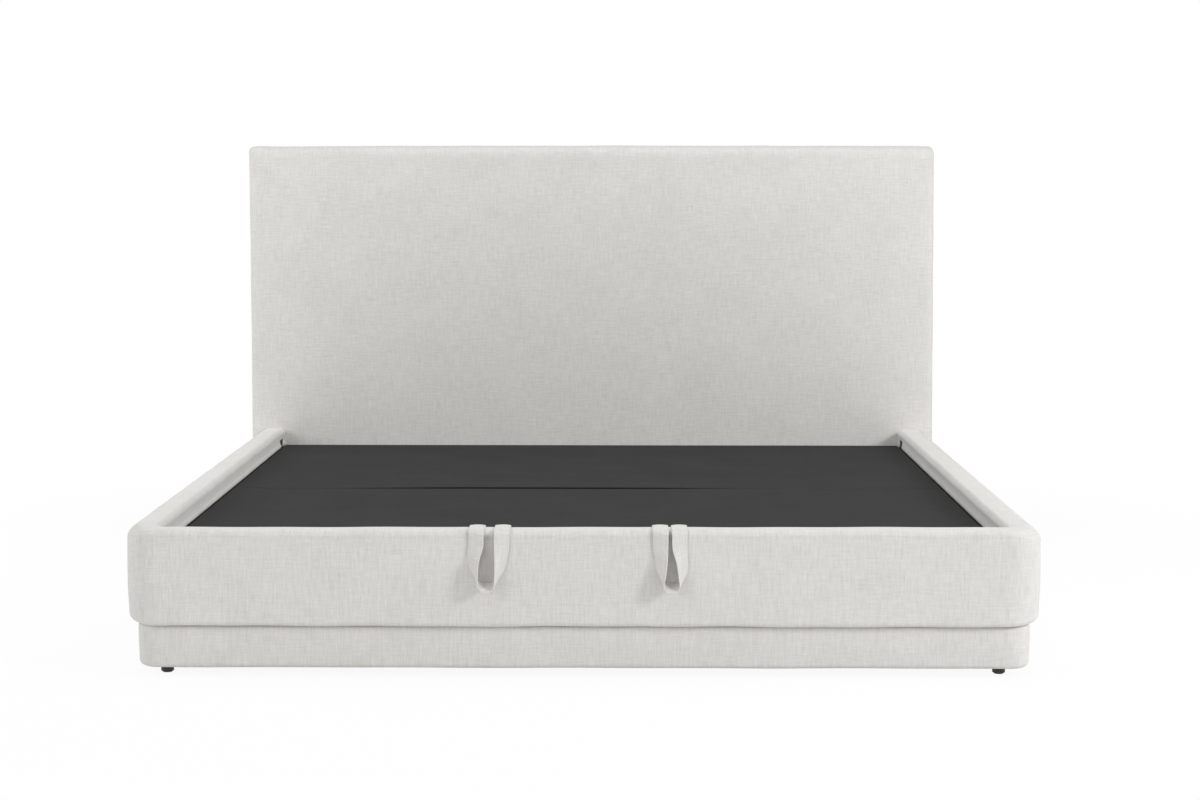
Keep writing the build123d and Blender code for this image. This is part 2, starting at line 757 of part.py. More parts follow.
def gas_struts():
    """Gas strut cylinders, rods and pistons."""
    end = cylinder_start + cylinder_length
    bore_radius = cylinder_radius - cylinder_wall
    neck = strut_bar(eye_radius, cylinder_start, rod_radius)
    hole = across(0, outer_x, pivot_a, strut_pin_radius + fit_clearance)
    tube = strut_bar(cylinder_start, end, cylinder_radius)
    tube -= strut_bar(cylinder_start + gland_thick, end - gland_thick, bore_radius)
    tube -= strut_bar(end - gland_thick - overrun, end + overrun, rod_radius + gland_clearance)
    link = strut_bar(strut_pin_radius + cloth, cylinder_start + cloth, rod_radius)
    cylinder = tube + (link - hole) + neck + eye(pivot_a)
    save("strut_cylinders", *both_sides(cylinder))
    rod = strut_bar(piston_start, strut_rest_length - strut_pin_radius - cloth, rod_radius) + eye(pivot_b)
    save("strut_rods", *both_sides(rod))
    piston_end = piston_start + piston_thick
    piston = strut_bar(piston_start, piston_end, bore_radius - piston_clearance)
    piston -= strut_bar(piston_start - overrun, piston_end, rod_radius)
    save("strut_pistons", *both_sides(piston))


def loop_over(x):
    """One band from the deck's edge, up the gap and over the foot rail."""
    inner_top = rail_top + loop_over_gap
    inner_back = loop_root[0] - loop_thick / 2
    inner_front = -loop_over_gap
    low = tier_split

    def section(grow):
        width = inner_back - inner_front + 2 * grow
        height = inner_top - low + grow
        face = Pos(inner_front - grow, low) * Rectangle(width, height, align=(Align.MIN, Align.MIN))
        front = (inner_front - grow, inner_top + grow)
        back = (inner_back + grow, inner_top + grow)
        return round_corners(face, [
            (front, rail_outer_radius - loop_over_gap + grow),
            (back, rail_inner_radius - loop_over_gap + grow),
        ])

    ring = section(loop_thick) - section(0)
    middle = rail_thick / 2
    tall = inner_top + overrun
    keep_front = Pos(loop_front - overrun, loop_fold[1] + loop_joint_gap) * Rectangle(
        middle - loop_front + overrun, tall - loop_fold[1], align=(Align.MIN, Align.MIN))
    keep_back = Pos(middle, loop_root[1] - loop_thick / 2) * Rectangle(
        deck_front, tall - loop_root[1] + loop_thick, align=(Align.MIN, Align.MIN))
    band = ring & (keep_front + keep_back)
    sideways = Plane(origin=(x - loop_band / 2, 0, 0), x_dir=(0, 1, 0), z_dir=(1, 0, 0))
    return extrude(sideways * band, amount=loop_band)


def loop_hanging(x):
    """The hanging end: two flat legs that turn edge-on into a rounded bow."""
    bow_z = loop_low + loop_bow_radius
    bow_y = -loop_over_gap - loop_bow_depth / 2
    middle_z = bow_z + loop_middle_share * (loop_fold[1] - bow_z)
    sections = (
        (loop_leg_offset, loop_fold[1], loop_band, loop_thick),
        (loop_middle_offset, middle_z, loop_middle_band, loop_middle_depth),
        (loop_bow_radius - loop_bow_band / 2, bow_z, loop_bow_band, loop_bow_depth),
    )
    pieces = []
    for side in (-1, 1):
        faces = [Pos(x + side * offset, -loop_over_gap - depth / 2, z) * Rectangle(width, depth)
                 for offset, z, width, depth in sections]
        pieces.append(loft(faces, ruled=True))
    bow = Circle(loop_bow_radius) - Circle(loop_bow_radius - loop_bow_band)
    bow &= Pos(0, -loop_bow_radius) * Rectangle(2 * loop_bow_radius, 2 * loop_bow_radius)
    front = Plane(origin=(x, bow_y - loop_bow_depth / 2, bow_z), x_dir=(1, 0, 0), z_dir=(0, -1, 0))
    pieces.append(extrude(front * bow, amount=-loop_bow_depth))
    return pieces[0] + pieces[1] + pieces[2]


def pull_loops():
    """Two cloth loops fixed to the deck's front edge and laid over the foot rail."""
    for name, x in zip(("left", "right"), loop_centres):
        legs = [loop_over(x - loop_leg_offset), loop_over(x + loop_leg_offset)]
        save(f"pull_loop_band_{name}", *legs)
        save(f"pull_loop_end_{name}", loop_hanging(x))


bolts, side_bores, foot_bores, head_bores = bracket_bolts()
plate_bores = [across(0, base_plate_x + bolt_reach + cloth, place, bolt_radius + hole_clearance)
               for place in plate_bolt_places()]
save_tier("rail", tier_pieces(rail_tier, side_bores + plate_bores, foot_bores, [end_slot()]), ())
save_tier("plinth", tier_pieces(plinth_tier, [], [], []), ("foam",))
bracket_bores = side_bores + foot_bores + head_bores
brackets = corner_brackets(bracket_bores)
save("corner_brackets", *[piece for bracket in brackets for piece in both_sides(bracket)])
save("bracket_bolts", *[piece for bolt in bolts for piece in both_sides(bolt)])
headboard(head_bores)
storage_floor()
frame_rest()
lifting_frame()
lift_mechanism()
gas_struts()
pull_loops()
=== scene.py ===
import json
from math import cos, pi, radians, sin

import bmesh
import bpy
import numpy as np
from mathutils import Matrix, Vector


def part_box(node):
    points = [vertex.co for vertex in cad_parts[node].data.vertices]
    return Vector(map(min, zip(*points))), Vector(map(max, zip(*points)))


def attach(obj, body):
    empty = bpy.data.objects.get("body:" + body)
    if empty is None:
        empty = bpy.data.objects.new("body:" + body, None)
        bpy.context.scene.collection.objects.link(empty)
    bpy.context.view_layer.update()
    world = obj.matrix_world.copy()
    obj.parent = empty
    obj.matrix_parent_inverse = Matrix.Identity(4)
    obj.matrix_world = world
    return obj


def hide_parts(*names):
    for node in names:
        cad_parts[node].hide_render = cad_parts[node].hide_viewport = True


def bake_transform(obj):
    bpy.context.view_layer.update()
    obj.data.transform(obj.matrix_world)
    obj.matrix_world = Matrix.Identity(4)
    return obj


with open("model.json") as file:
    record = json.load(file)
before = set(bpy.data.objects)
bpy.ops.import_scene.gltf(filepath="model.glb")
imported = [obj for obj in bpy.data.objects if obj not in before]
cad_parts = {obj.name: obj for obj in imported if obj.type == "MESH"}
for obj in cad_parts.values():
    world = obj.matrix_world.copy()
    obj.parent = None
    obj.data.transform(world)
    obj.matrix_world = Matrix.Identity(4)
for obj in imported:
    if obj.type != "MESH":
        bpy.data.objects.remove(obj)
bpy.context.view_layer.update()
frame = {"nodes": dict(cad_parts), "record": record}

# The bed as packed: metres, +X right, +Y towards the headboard, +Z up
MM = 0.001
rail_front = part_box("rail_cover_foot")[0].y
rail_low, rail_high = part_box("rail_cover_right")
plinth_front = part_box("plinth_cover_foot")[0].y
plinth_low, plinth_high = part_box("plinth_cover_right")
head_low, head_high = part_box("headboard_cover")

# Rails and plinth, swept round the storage well as one padded form each
rail_corner_radius = 84 * MM
plinth_corner_radius = 58 * MM
corner_fillet = 6 * MM
corner_spread = 220 * MM
corner_places = 14
station_step = 12 * MM
outline_step = 6 * MM
arc_places = 9
weld_distance = 0.001 * MM
# Moves of a rail's face are whole within this share of half its thickness, and the plinth's of its thickness
face_share = 0.3

# Rails: section, crowned top, and faces that swell and tuck in at the bottom
rail_foot_bottom_radius = 13 * MM
rail_side_bottom_radius = 23 * MM
rail_foot_top_radius = 12 * MM
rail_side_top_radius = 31 * MM
rail_inner_radius = 15 * MM
rail_crown = 2.5 * MM
rail_swell = 1.2 * MM
rail_swell_height = 100 * MM
rail_swell_reach = 120 * MM
rail_foot_tuck = 2 * MM
rail_side_tuck = 3 * MM
rail_tuck_height = 120 * MM
rail_tuck_power = 1.5
rail_lean = 2 * MM
rail_foot_crease = 0.9 * MM
rail_crease_height = 329 * MM
rail_crease_reach = 5 * MM
# Depths under the rails' top where its moves start and are whole, and heights over their bottom likewise
rail_top_fade = (36 * MM, 2 * MM)
rail_bottom_fade = (26 * MM, 2 * MM)
rail_bottom_lift = 1.5 * MM

# Where the rails' top is lower than packed: at the right, at the foot and at the corners
rail_right_drop = 3.5 * MM
rail_right_slope = 3 * MM
rail_slope_shares = (0.7, 2)
rail_foot_drop = 4.5 * MM
rail_foot_tilt = 0.35
dimple_depth = 3.5 * MM
dimple_place = 10 * MM
dimple_reach = 34 * MM
dimple_shares = (0.9, 1.8)

# Rails' inner face: the lip by the deck, the band pulled in over it, the rolled edge, and the board behind
rail_lip_height = 301 * MM
rail_lip_stand = 3.4 * MM
rail_lip_below = 4 * MM
rail_lip_above = 7 * MM
rail_lip_lopsided = 0.4
rail_band_height = 325 * MM
rail_band_depth = 0.4 * MM
rail_band_reach = 16 * MM
rail_roll_height = 343 * MM
rail_roll_reach = 13 * MM
rail_right_roll = 1.5 * MM
rail_end_swell = 4 * MM
rail_end_reach = 150 * MM
rail_board_cover = 1.6 * MM
rail_board_top = 321 * MM
rail_hem_height = 296 * MM
rail_hem_step = 4 * MM

# The dark opening in each side rail's inner face, by the headboard, and the black strips of painted shade
# behind the opening and in the gap under the rails' inner edge
opening_start = 97 * MM
opening_end = 32 * MM
opening_top = 320 * MM
opening_edge = 1 * MM
shade_strip_thick = 0.5 * MM
shade_strip_margin = 6 * MM
hem_shade_low = 262 * MM
hem_shade_high = 301 * MM
hem_shade_end = 15 * MM

# Plinth
plinth_top_radius = 7 * MM
plinth_foot_bottom_radius = 12 * MM
plinth_side_bottom_radius = 13 * MM
plinth_tuck = 2 * MM
plinth_tuck_height = 75 * MM
plinth_bottom_drop = 0.8 * MM
plinth_lean = 3 * MM
plinth_inside = 35 * MM

# Padded headboard
head_voxel = 12 * MM
ease_share = 0.5
ease_passes = 3
head_held_depth = 62 * MM
head_pressure = 4.0
head_swell = 5 * MM
swell_frames = 20
head_edge_radius = 28 * MM
head_left_spread = 6 * MM
head_right_spread = 3.5 * MM
head_corner_radius = 22 * MM
head_corner_draw = 0.55
head_corner_reach = 70 * MM
head_corner_fade = (80 * MM, 30 * MM)
head_back_radius = 6 * MM
head_back_recess = 2 * MM
head_crown = 4 * MM
head_front_fade = (60 * MM, 10 * MM)
head_rim_front = (0, 30 * MM)
head_rim_back = (96 * MM, 60 * MM)
head_top_bow = 2 * MM
head_top_tilt = 1.5 * MM
head_tilt_middle = 0.3
head_top_reach = 300 * MM
head_right_flare = 9 * MM
head_flare_from = 0.6
head_flare_height = 1.15
# From an edge of the headboard, where the weave starts to turn round it and where it has turned
weave_turn = (45 * MM, 20 * MM)

# An edge follows an axis when its direction has more than this on it, and crosses it with less than that
follows_axis = 0.9
crosses_axis = 0.1

# Slow unevenness of the padded forms: how much, wavelengths in metres, and shift; each next wave is turned on
ripple_turn = 1.7
rail_face_uneven = (0.5 * MM, (0.43, 0.27, 0.71), 0)
rail_lip_uneven = (0.3, (0.31, 0.17, 0.09), 0)
rail_band_uneven = (0.25, (0.37, 0.21, 0.13), 1.1)
rail_top_uneven = (0.6 * MM, (0.53, 0.23), 0)
rail_bottom_uneven = (1.5 * MM, (0.87, 0.39, 0.21), 0.6)
plinth_face_uneven = (0.6 * MM, (0.51, 0.29, 0.19), 2.1)
plinth_bottom_uneven = (0.6 * MM, (0.61, 0.33), 0.9)
head_rim_uneven = (0.9 * MM, (0.41, 0.67, 0.23), 0)
rail_uneven_slant = 0.3
plinth_uneven_slant = 0.4

# Pull loops
strap_width = 37 * MM
strap_thick = 2.4 * MM
strap_columns = 7
strap_arch = 1.6 * MM
# Places up the gap, round the rail's inner edge and round its outer edge
strap_places = (6, 9, 13)
# Rows between which a strap's arch rises and falls again, and the row from which it turns towards its fold
strap_arch_rise = (5, 10)
strap_arch_fall = (26, 18)
strap_turn_row = 16
loop_fold_width = 35.6 * MM
loop_tilt = radians(30)
loop_rows = 65
# Middles of each loop's two straps
strap_middles = {"left": (-29 * MM, 29.5 * MM), "right": (-26.5 * MM, 17 * MM)}
# Each loop's hanging end from left to right: across, height and width seen from the front, in millimetres
loop_shapes = {
    "left": (
        (-31, 303, 35), (-34, 290, 31), (-34.5, 275, 25), (-33, 258, 20), (-31, 242, 15), (-27, 230, 9),
        (-19, 221, 4), (-4, 217, 2.4), (11, 221, 5), (18, 230, 12), (22.5, 243, 19), (26, 260, 25),
        (28, 282, 30), (29.2, 300, 34),
    ),
    "right": (
        (-26.5, 303, 35), (-25.5, 290, 32), (-25, 275, 28), (-25, 258, 24), (-24.8, 242, 18), (-23, 230, 10),
        (-16, 221, 4.5), (0, 217, 2.4), (15, 221, 5), (22.5, 230, 12), (24.5, 243, 20), (24.5, 260, 25),
        (22, 282, 28), (18.5, 300, 34),
    ),
}

# Deck cloth
deck_cloth_thick = 0.8 * MM
deck_edge_radius = 3 * MM
deck_corner_radius = 6 * MM
deck_cuts = (48, 26)
deck_top_slack = 0.1 * MM
deck_uneven = 0.25 * MM
# The two waves of the deck's unevenness: radians a metre along X and along Y
deck_waves = ((7, 3), (-2, 5))
seam_lift = 4.2 * MM
seam_lift_middle = -0.13
seam_lift_start = 0.68
seam_lift_full = 0.2
seam_lift_depth = 0.16
seam_nose = 3 * MM
seam_nose_depth = 12 * MM
seam_nose_below = 1.4 * MM


# Tools for shapes


def smooth(value, start, end):
    """0 before start and 1 after end, easing between them; start may be the larger."""
    t = np.clip((value - start) / (end - start), 0, 1)
    return t * t * (3 - 2 * t)


def hump(value, middle, reach):
    """1 at the middle, falling off evenly to both sides."""
    return np.exp(-(((value - middle) / reach) ** 2))


def ripple(along, amount, lengths, shift):
    """Slow uneven waves between about -amount and amount, from wavelengths that don't repeat together."""
    waves = [
        np.sin(2 * pi * along / length + shift + ripple_turn * index)
        for index, length in enumerate(lengths)
    ]
    return amount * (sum(waves) / len(lengths))


def places(x, y):
    """Points as rows, from their two coordinates; either may be one number."""
    return np.column_stack(np.broadcast_arrays(x, y))


def run_along(points):
    """Length along a line of points, at each of them."""
    return np.concatenate([[0], np.cumsum(np.linalg.norm(np.diff(points, axis=0), axis=1))])


def block(bm, low, high):
    """A closed box between two corners."""
    low, high = Vector(low), Vector(high)
    verts = bmesh.ops.create_cube(bm, size=1)["verts"]
    bmesh.ops.scale(bm, vec=high - low, verts=verts)
    bmesh.ops.translate(bm, vec=(low + high) / 2, verts=verts)
    return verts


def edges_of(verts, test):
    """Edges between these vertices whose middle and direction pass the test, in the same order each time."""
    chosen = []
    for edge in dict.fromkeys(edge for vert in verts if vert.is_valid for edge in vert.link_edges):
        a, b = (vert.co for vert in edge.verts)
        if test((a + b) / 2, (b - a).normalized()):
            chosen.append(edge)
    return chosen


def round_over(bm, edges, radius, segments):
    """Rounds edges."""
    bmesh.ops.bevel(
        bm, geom=edges, offset=radius, offset_type="OFFSET", segments=segments,
        profile=0.5, affect="EDGES", material=-1, clamp_overlap=True,
    )


def piece_of(name, bm):
    """A linked object that holds the finished bmesh."""
    mesh = bpy.data.meshes.new(name)
    bm.to_mesh(mesh)
    bm.free()
    piece = bpy.data.objects.new(name, mesh)
    bpy.context.scene.collection.objects.link(piece)
    return piece


def grid_piece(name, rows, columns):
    """A flat grid, still to be moved into shape, with the row and the column of each of its points."""
    bm = bmesh.new()
    bmesh.ops.create_grid(bm, x_segments=columns - 1, y_segments=rows - 1, size=0.5)
    piece = piece_of(name, bm)
    place = points_of(piece)
    column = np.rint((place[:, 0] + 0.5) * (columns - 1)).astype(int)
    row = np.rint((place[:, 1] + 0.5) * (rows - 1)).astype(int)
    return piece, row, column


def bake(piece):
    """Applies the piece's modifiers to its mesh."""
    bpy.context.view_layer.update()
    graph = bpy.context.evaluated_depsgraph_get()
    mesh = bpy.data.meshes.new_from_object(piece.evaluated_get(graph))
    piece.modifiers.clear()
    piece.data = mesh
    mesh.shade_smooth()


def skin_over(piece, voxel):
    """One even skin round the overlapping blocks of a padded form, eased a little as foam is."""
    skin = piece.modifiers.new("skin", "REMESH")
    skin.mode = "VOXEL"
    skin.voxel_size = voxel
    ease = piece.modifiers.new("ease", "SMOOTH")
    ease.factor = ease_share
    ease.iterations = ease_passes
    bake(piece)


def swell(piece, held, pressure, cap):
    """Cloth under air pressure: the points in held stay, and no other point moves further than cap."""
    start = points_of(piece)
    piece.vertex_groups.new(name="held").add(np.flatnonzero(held).tolist(), 1.0, "REPLACE")
    cloth = piece.modifiers.new("swell", "CLOTH")
    cloth.settings.use_pressure = True
    cloth.settings.uniform_pressure_force = pressure
    cloth.settings.effector_weights.gravity = 0
    cloth.settings.vertex_group_mass = "held"
    cloth.point_cache.frame_start, cloth.point_cache.frame_end = 1, swell_frames
    for frame_number in range(1, swell_frames + 1):
        bpy.context.scene.frame_set(frame_number)
    bake(piece)
    piece.vertex_groups.clear()
    bpy.context.scene.frame_set(1)
    moved = points_of(piece) - start
    far = np.linalg.norm(moved, axis=1)[:, None]
    move_points(piece, start + moved * np.tanh(far / cap) * cap / np.maximum(far, 1e-9))


def vectors_of(piece, kind):
    """The place ("co") or the direction ("normal") of each of the piece's points, as rows."""
    values = np.empty(3 * len(piece.data.vertices), np.float32)
    piece.data.vertices.foreach_get(kind, values)
    return values.reshape(-1, 3).astype(float)


def points_of(piece):
    return vectors_of(piece, "co")


def move_points(piece, co):
    piece.data.vertices.foreach_set("co", co.astype(np.float32).ravel())
    piece.data.update()


def lay_weave(piece, u, v):
    """A UV map in metres, so that the threads follow the cloth."""
    layer = piece.data.uv_layers.new(name="weave")
    corner = np.empty(len(piece.data.loops), np.int32)
    piece.data.loops.foreach_get("vertex_index", corner)
    layer.data.foreach_set("uv", places(u, v)[corner].astype(np.float32).ravel())


def rounded_outline(corners, step):
    """A closed outline through corners (across, up, radius), with as many places whatever the radii are."""
    arcs = []
    count = len(corners)
    for index, (across, up, radius) in enumerate(corners):
        here = np.array([across, up])
        before = np.array(corners[index - 1][:2]) - here
        after = np.array(corners[(index + 1) % count][:2]) - here
        before, after = before / np.linalg.norm(before), after / np.linalg.norm(after)
        if radius == 0:
            arcs.append([here])
            continue
        half_angle = np.arccos(np.dot(before, after)) / 2
        reach = radius / np.tan(half_angle)
        centre = here + (before + after) * radius / (2 * sin(half_angle) * cos(half_angle))
        start, end = here + before * reach - centre, here + after * reach - centre
        sweep = pi - 2 * half_angle
        arcs.append([
            centre + (sin(sweep * (1 - share)) * start + sin(sweep * share) * end) / sin(sweep)
            for share in np.linspace(0, 1, arc_places)
        ])
    outline = []
    for index, arc in enumerate(arcs):
        after = arcs[(index + 1) % count][0]
        straight = np.array(corners[(index + 1) % count][:2]) - np.array(corners[index][:2])
        pieces = max(1, round(float(np.linalg.norm(straight)) / step))
        outline += arc + [arc[-1] + (after - arc[-1]) * piece / pieces for piece in range(1, pieces)]
    return np.array(outline + outline[:1])


def close_up(piece):
    """Joins the two ends of a swept outline, and caps both ends of the sweep with sharp edges."""
    bm = bmesh.new()
    bm.from_mesh(piece.data)
    bmesh.ops.remove_doubles(bm, verts=bm.verts, dist=weld_distance)
    rims = [edge for edge in bm.edges if edge.is_boundary]
    bmesh.ops.holes_fill(bm, edges=rims, sides=0)
    bmesh.ops.recalc_face_normals(bm, faces=bm.faces)
    for face in bm.faces:
        face.smooth = True
    for edge in rims:
        edge.smooth = False
    bm.to_mesh(piece.data)
    bm.free()


# Shapes of the rails and the plinth


class Tier:
    """One tier of the base: a padded bar that runs round the storage well from headboard to headboard."""

    def __init__(self, front, side_low, side_high, thick, corner_radius):
        self.front = front
        self.back = side_high.y
        self.outer_x = side_high.x
        self.low, self.high = side_low.z, side_high.z
        self.thick = thick
        self.corner_radius = corner_radius

    def half_run(self):
        """Outer line, inner line and length along the outer one, from the foot's middle to one rear end."""
        radius = self.corner_radius
        reach = self.outer_x - radius
        turn = np.linspace(0, pi / 2, corner_places)[1:-1]
        foot_x = np.linspace(0, reach, round(reach / station_step))
        even = np.linspace(self.front + radius, self.back, round((self.back - self.front) / station_step))
        rims = [self.back - place for place in (opening_start, opening_end)]
        side_y = np.sort(np.concatenate([even, rims, [rim - opening_edge for rim in rims]]))
        shift = self.thick + corner_fillet - radius
        inner_x, inner_y = self.outer_x - self.thick, self.front + self.thick
        centre_x, centre_y = inner_x - corner_fillet, inner_y + corner_fillet
        outer = np.concatenate([
            places(foot_x, self.front),
            places(reach + radius * np.sin(turn), side_y[0] - radius * np.cos(turn)),
            places(self.outer_x, side_y),
        ])
        # Near a corner the inner line's places move along it, to end where its own small fillet starts
        foot_in = foot_x - shift * smooth(foot_x, reach - corner_spread, reach)
        side_in = side_y + shift * smooth(side_y, side_y[0] + corner_spread, side_y[0])
        inner = np.concatenate([
            places(foot_in, inner_y),
            places(centre_x + corner_fillet * np.sin(turn), centre_y - corner_fillet * np.cos(turn)),
            places(inner_x, side_in),
        ])
        return outer, inner, run_along(outer)

    def run(self):
        """The whole run from the left rear end to the right one, and how far each place is on a side."""
        outer, inner, length = self.half_run()
        flip = np.array([-1, 1])
        outer = np.concatenate([outer[:0:-1] * flip, outer])
        inner = np.concatenate([inner[:0:-1] * flip, inner])
        length = np.concatenate([-length[:0:-1], length])
        on_side = smooth(abs(length), self.outer_x - self.corner_radius, self.outer_x)
        return outer, inner, length, on_side

    def sweep(self, name, foot_outline, side_outline, shape):
        """The padded form: the outline carried along the run, with shape() moving it at each place."""
        outer, inner, length, on_side = self.run()
        piece, row, column = grid_piece(name, len(length), len(foot_outline))
        side = on_side[row][:, None]
        outline = foot_outline[column] * (1 - side) + side_outline[column] * side
        inward, up = outline.T
        inward, up = shape(inward, up, length[row], on_side[row], outer[row])
        across = outer[row] + (inner - outer)[row] * (inward / self.thick)[:, None]
        move_points(piece, np.column_stack([across, up]))
        lay_weave(piece, length[row], run_along(foot_outline)[column])
        close_up(piece)
        return piece


rails = Tier(rail_front, rail_low, rail_high, rail_high.x - rail_low.x, rail_corner_radius)
plinth = Tier(plinth_front, plinth_low, plinth_high, plinth_inside, plinth_corner_radius)


def rail_outline(bottom_radius, top_radius):
    top, low = rails.high, rails.low
    hem_in = rails.thick - rail_hem_step
    corners = [
        (hem_in, low, 0), (0, low, bottom_radius), (0, top, top_radius),
        (rails.thick, top, rail_inner_radius), (rails.thick, opening_top + opening_edge, 0),
        (rails.thick, opening_top, 0), (rails.thick, rail_hem_height, 0), (hem_in, rail_hem_height, 0),
    ]
    return rounded_outline(corners, outline_step)


def plinth_outline(bottom_radius):
    top, low = plinth.high, plinth.low
    corners = [
        (plinth_inside, low, 0), (0, low, bottom_radius),
        (0, top, plinth_top_radius), (plinth_inside, top, 0),
    ]
    return rounded_outline(corners, outline_step)


def foot_drop_at(x):
    """How far the foot rail's top lies below the side rails', a little more at the left than at the right."""
    return rail_foot_drop * (1 - rail_foot_tilt * x / rails.outer_x)


def outer_face_in(up, along, on_side):
    """How far the rails' outer face goes in: the tuck and the foot's crease, less swelling and lean."""
    flank = 1 - smooth(up, *(rails.high - depth for depth in rail_top_fade))
    bow = np.clip(1 - ((up - rails.low - rail_swell_height) / rail_swell_reach) ** 2, -1, 1)
    tuck = smooth(up, rails.low + rail_tuck_height, rails.low) ** rail_tuck_power
    tuck *= rail_foot_tuck + (rail_side_tuck - rail_foot_tuck) * on_side
    uneven = ripple(along + rail_uneven_slant * up, *rail_face_uneven)
    lean = rail_lean * on_side * np.sign(along)
    crease = rail_foot_crease * hump(up, rail_crease_height, rail_crease_reach) * (1 - on_side)
    return tuck - (rail_swell * bow + uneven) * flank - lean + crease


def inner_face_in(up, along, on_right, from_back):
    """How far the rails' inner face stands in over the deck: the lip, the pulled-in band, the rolled edge."""
    lip_reach = np.where(up < rail_lip_height, rail_lip_below, rail_lip_above)
    lip = rail_lip_stand * hump(up, rail_lip_height, lip_reach)
    lip *= 1 - rail_lip_lopsided * np.sign(along) + ripple(along, *rail_lip_uneven)
    band = rail_band_depth * hump(up, rail_band_height, rail_band_reach)
    band *= 1 + ripple(along, *rail_band_uneven)
    roll = rail_end_swell * smooth(from_back, rail_end_reach, 0) + rail_right_roll * on_right
    return lip - band + roll * hump(up, rail_roll_height, rail_roll_reach)


def top_down(inward, along, on_side, on_right, outer):
    """How far the rails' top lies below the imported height: crown, dimples at the corners, drops and slope."""
    half = rails.thick / 2
    crown = rail_crown * ((inward - half) / half) ** 2
    dimple = dimple_depth * hump(abs(along), rails.outer_x - dimple_place, dimple_reach)
    dimple *= smooth(inward, *(share * half for share in dimple_shares))
    outside = smooth(inward, half, face_share * half)
    drop = rail_right_drop * outside * smooth(outer[:, 1], rails.back, rails.front)
    drop += rail_right_slope * smooth(inward, *(share * half for share in rail_slope_shares))
    drop = drop * on_right + foot_drop_at(outer[:, 0]) * (1 - on_side)
    return crown + dimple + drop - ripple(along, *rail_top_uneven)


def shape_rails(inward, up, along, on_side, outer):
    """Crowned tops, swelling faces tucked in at the bottom, the band pulled in over the lip, uneven edges."""
    half = rails.thick / 2
    outside = smooth(inward, half, face_share * half)
    inside = smooth(inward, half, (2 - face_share) * half)
    on_right = on_side * (along > 0)
    from_back = rails.back - outer[:, 1]
    new_inward = inward + outside * outer_face_in(up, along, on_side)
    new_inward += inside * inner_face_in(up, along, on_right, from_back)
    over_board = inside * (up < rail_board_top) * (up > rail_hem_height) > 0.5
    clear_of_board = np.maximum(new_inward, rails.thick - rail_board_cover)
    new_inward = np.where(over_board, clear_of_board, new_inward)
    at_opening = (inside > 0.5) & (from_back < opening_start) & (from_back > opening_end)
    at_opening &= (up <= opening_top) & (up >= rail_hem_height)
    new_inward = np.where(at_opening, rails.thick - rail_hem_step, new_inward)
    on_top = smooth(up, *(rails.high - depth for depth in rail_top_fade))
    new_up = up - on_top * top_down(inward, along, on_side, on_right, outer)
    at_bottom = outside * smooth(up, *(rails.low + height for height in rail_bottom_fade))
    new_up += at_bottom * (rail_bottom_lift + ripple(along, *rail_bottom_uneven))
    return new_inward, new_up


def shape_plinth(inward, up, along, on_side, _outer):
    """Faces tucked in towards the floor, with a slightly uneven lower edge."""
    outside = smooth(inward, plinth.thick, face_share * plinth.thick)
    tuck = smooth(up, plinth.low + plinth_tuck_height, plinth.low)
    uneven = ripple(along + plinth_uneven_slant * up, *plinth_face_uneven)
    lean = plinth_lean * on_side * np.sign(along)
    new_inward = inward + outside * (plinth_tuck * tuck - uneven - lean)
    new_up = up + outside * tuck * (ripple(along, *plinth_bottom_uneven) - plinth_bottom_drop)
    return new_inward, new_up


# Shape of the headboard


def head_blocks():
    """The padded outside of the headboard."""
    bm = bmesh.new()
    back = head_high.y - head_back_recess
    low = (head_low.x - head_left_spread, head_low.y, head_low.z)
    verts = block(bm, low, (head_high.x + head_right_spread, back, head_high.z))
    corners = edges_of(verts, lambda m, d: abs(d.y) > follows_axis and m.z > head_high.z - MM)
    round_over(bm, corners, head_corner_radius, segments=8)
    face, floor = head_low.y + MM, head_low.z + MM
    front = edges_of(bm.verts, lambda m, d: m.y < face and abs(d.y) < crosses_axis and m.z > floor)
    round_over(bm, front, head_edge_radius, segments=8)
    rear = edges_of(bm.verts, lambda m, d: m.y > back - MM and abs(d.y) < crosses_axis)
    round_over(bm, rear, head_back_radius, segments=2)
    return bm


def shape_headboard(piece):
    """A slightly crowned face with soft, uneven edges, two unlike top corners and a flare at the right."""
    co, flat = points_of(piece), vectors_of(piece, "normal")
    x, y, z = co.T
    depth = y - head_low.y
    across = np.clip(1 - (x / head_high.x) ** 2, 0, 1)
    height = (z - head_low.z) / (head_high.z - head_low.z)
    crown = np.sqrt(across) * 4 * height * (1 - height)
    co[:, 1] -= smooth(depth, *head_front_fade) * head_crown * (crown - 0.5)
    flat[:, 1] = 0
    rim = smooth(depth, *head_rim_front) * smooth(depth, *head_rim_back)
    co += flat * (rim * ripple(x + z, *head_rim_uneven))[:, None]
    flare = head_right_flare * smooth(x, head_flare_from * head_high.x, head_high.x)
    co[:, 0] += flare * np.clip(head_flare_height - height, 0, 1)
    raised = head_top_bow * across + head_top_tilt * (x / head_high.x - head_tilt_middle)
    co[:, 2] += raised * smooth(z, head_high.z - head_top_reach, head_high.z)
    below, beside = np.clip(head_high.z - z, 0, 1), np.clip(head_high.x - x, 0, 1)
    at_left = smooth(x, *(head_low.x + place for place in head_corner_fade))
    at_top = smooth(below, *head_corner_fade)
    co[:, 2] += at_left * head_corner_draw * below * smooth(below, head_corner_reach, 0)
    co[:, 0] += at_top * head_corner_draw * beside * smooth(beside, head_corner_reach, 0)
    move_points(piece, co)
    side = smooth(abs(x), *(head_high.x - place for place in weave_turn))
    top = smooth(z, *(head_high.z - place for place in weave_turn))
    lay_weave(piece, x + np.sign(x) * side * depth, z + top * depth)


# Shapes of the pull loops


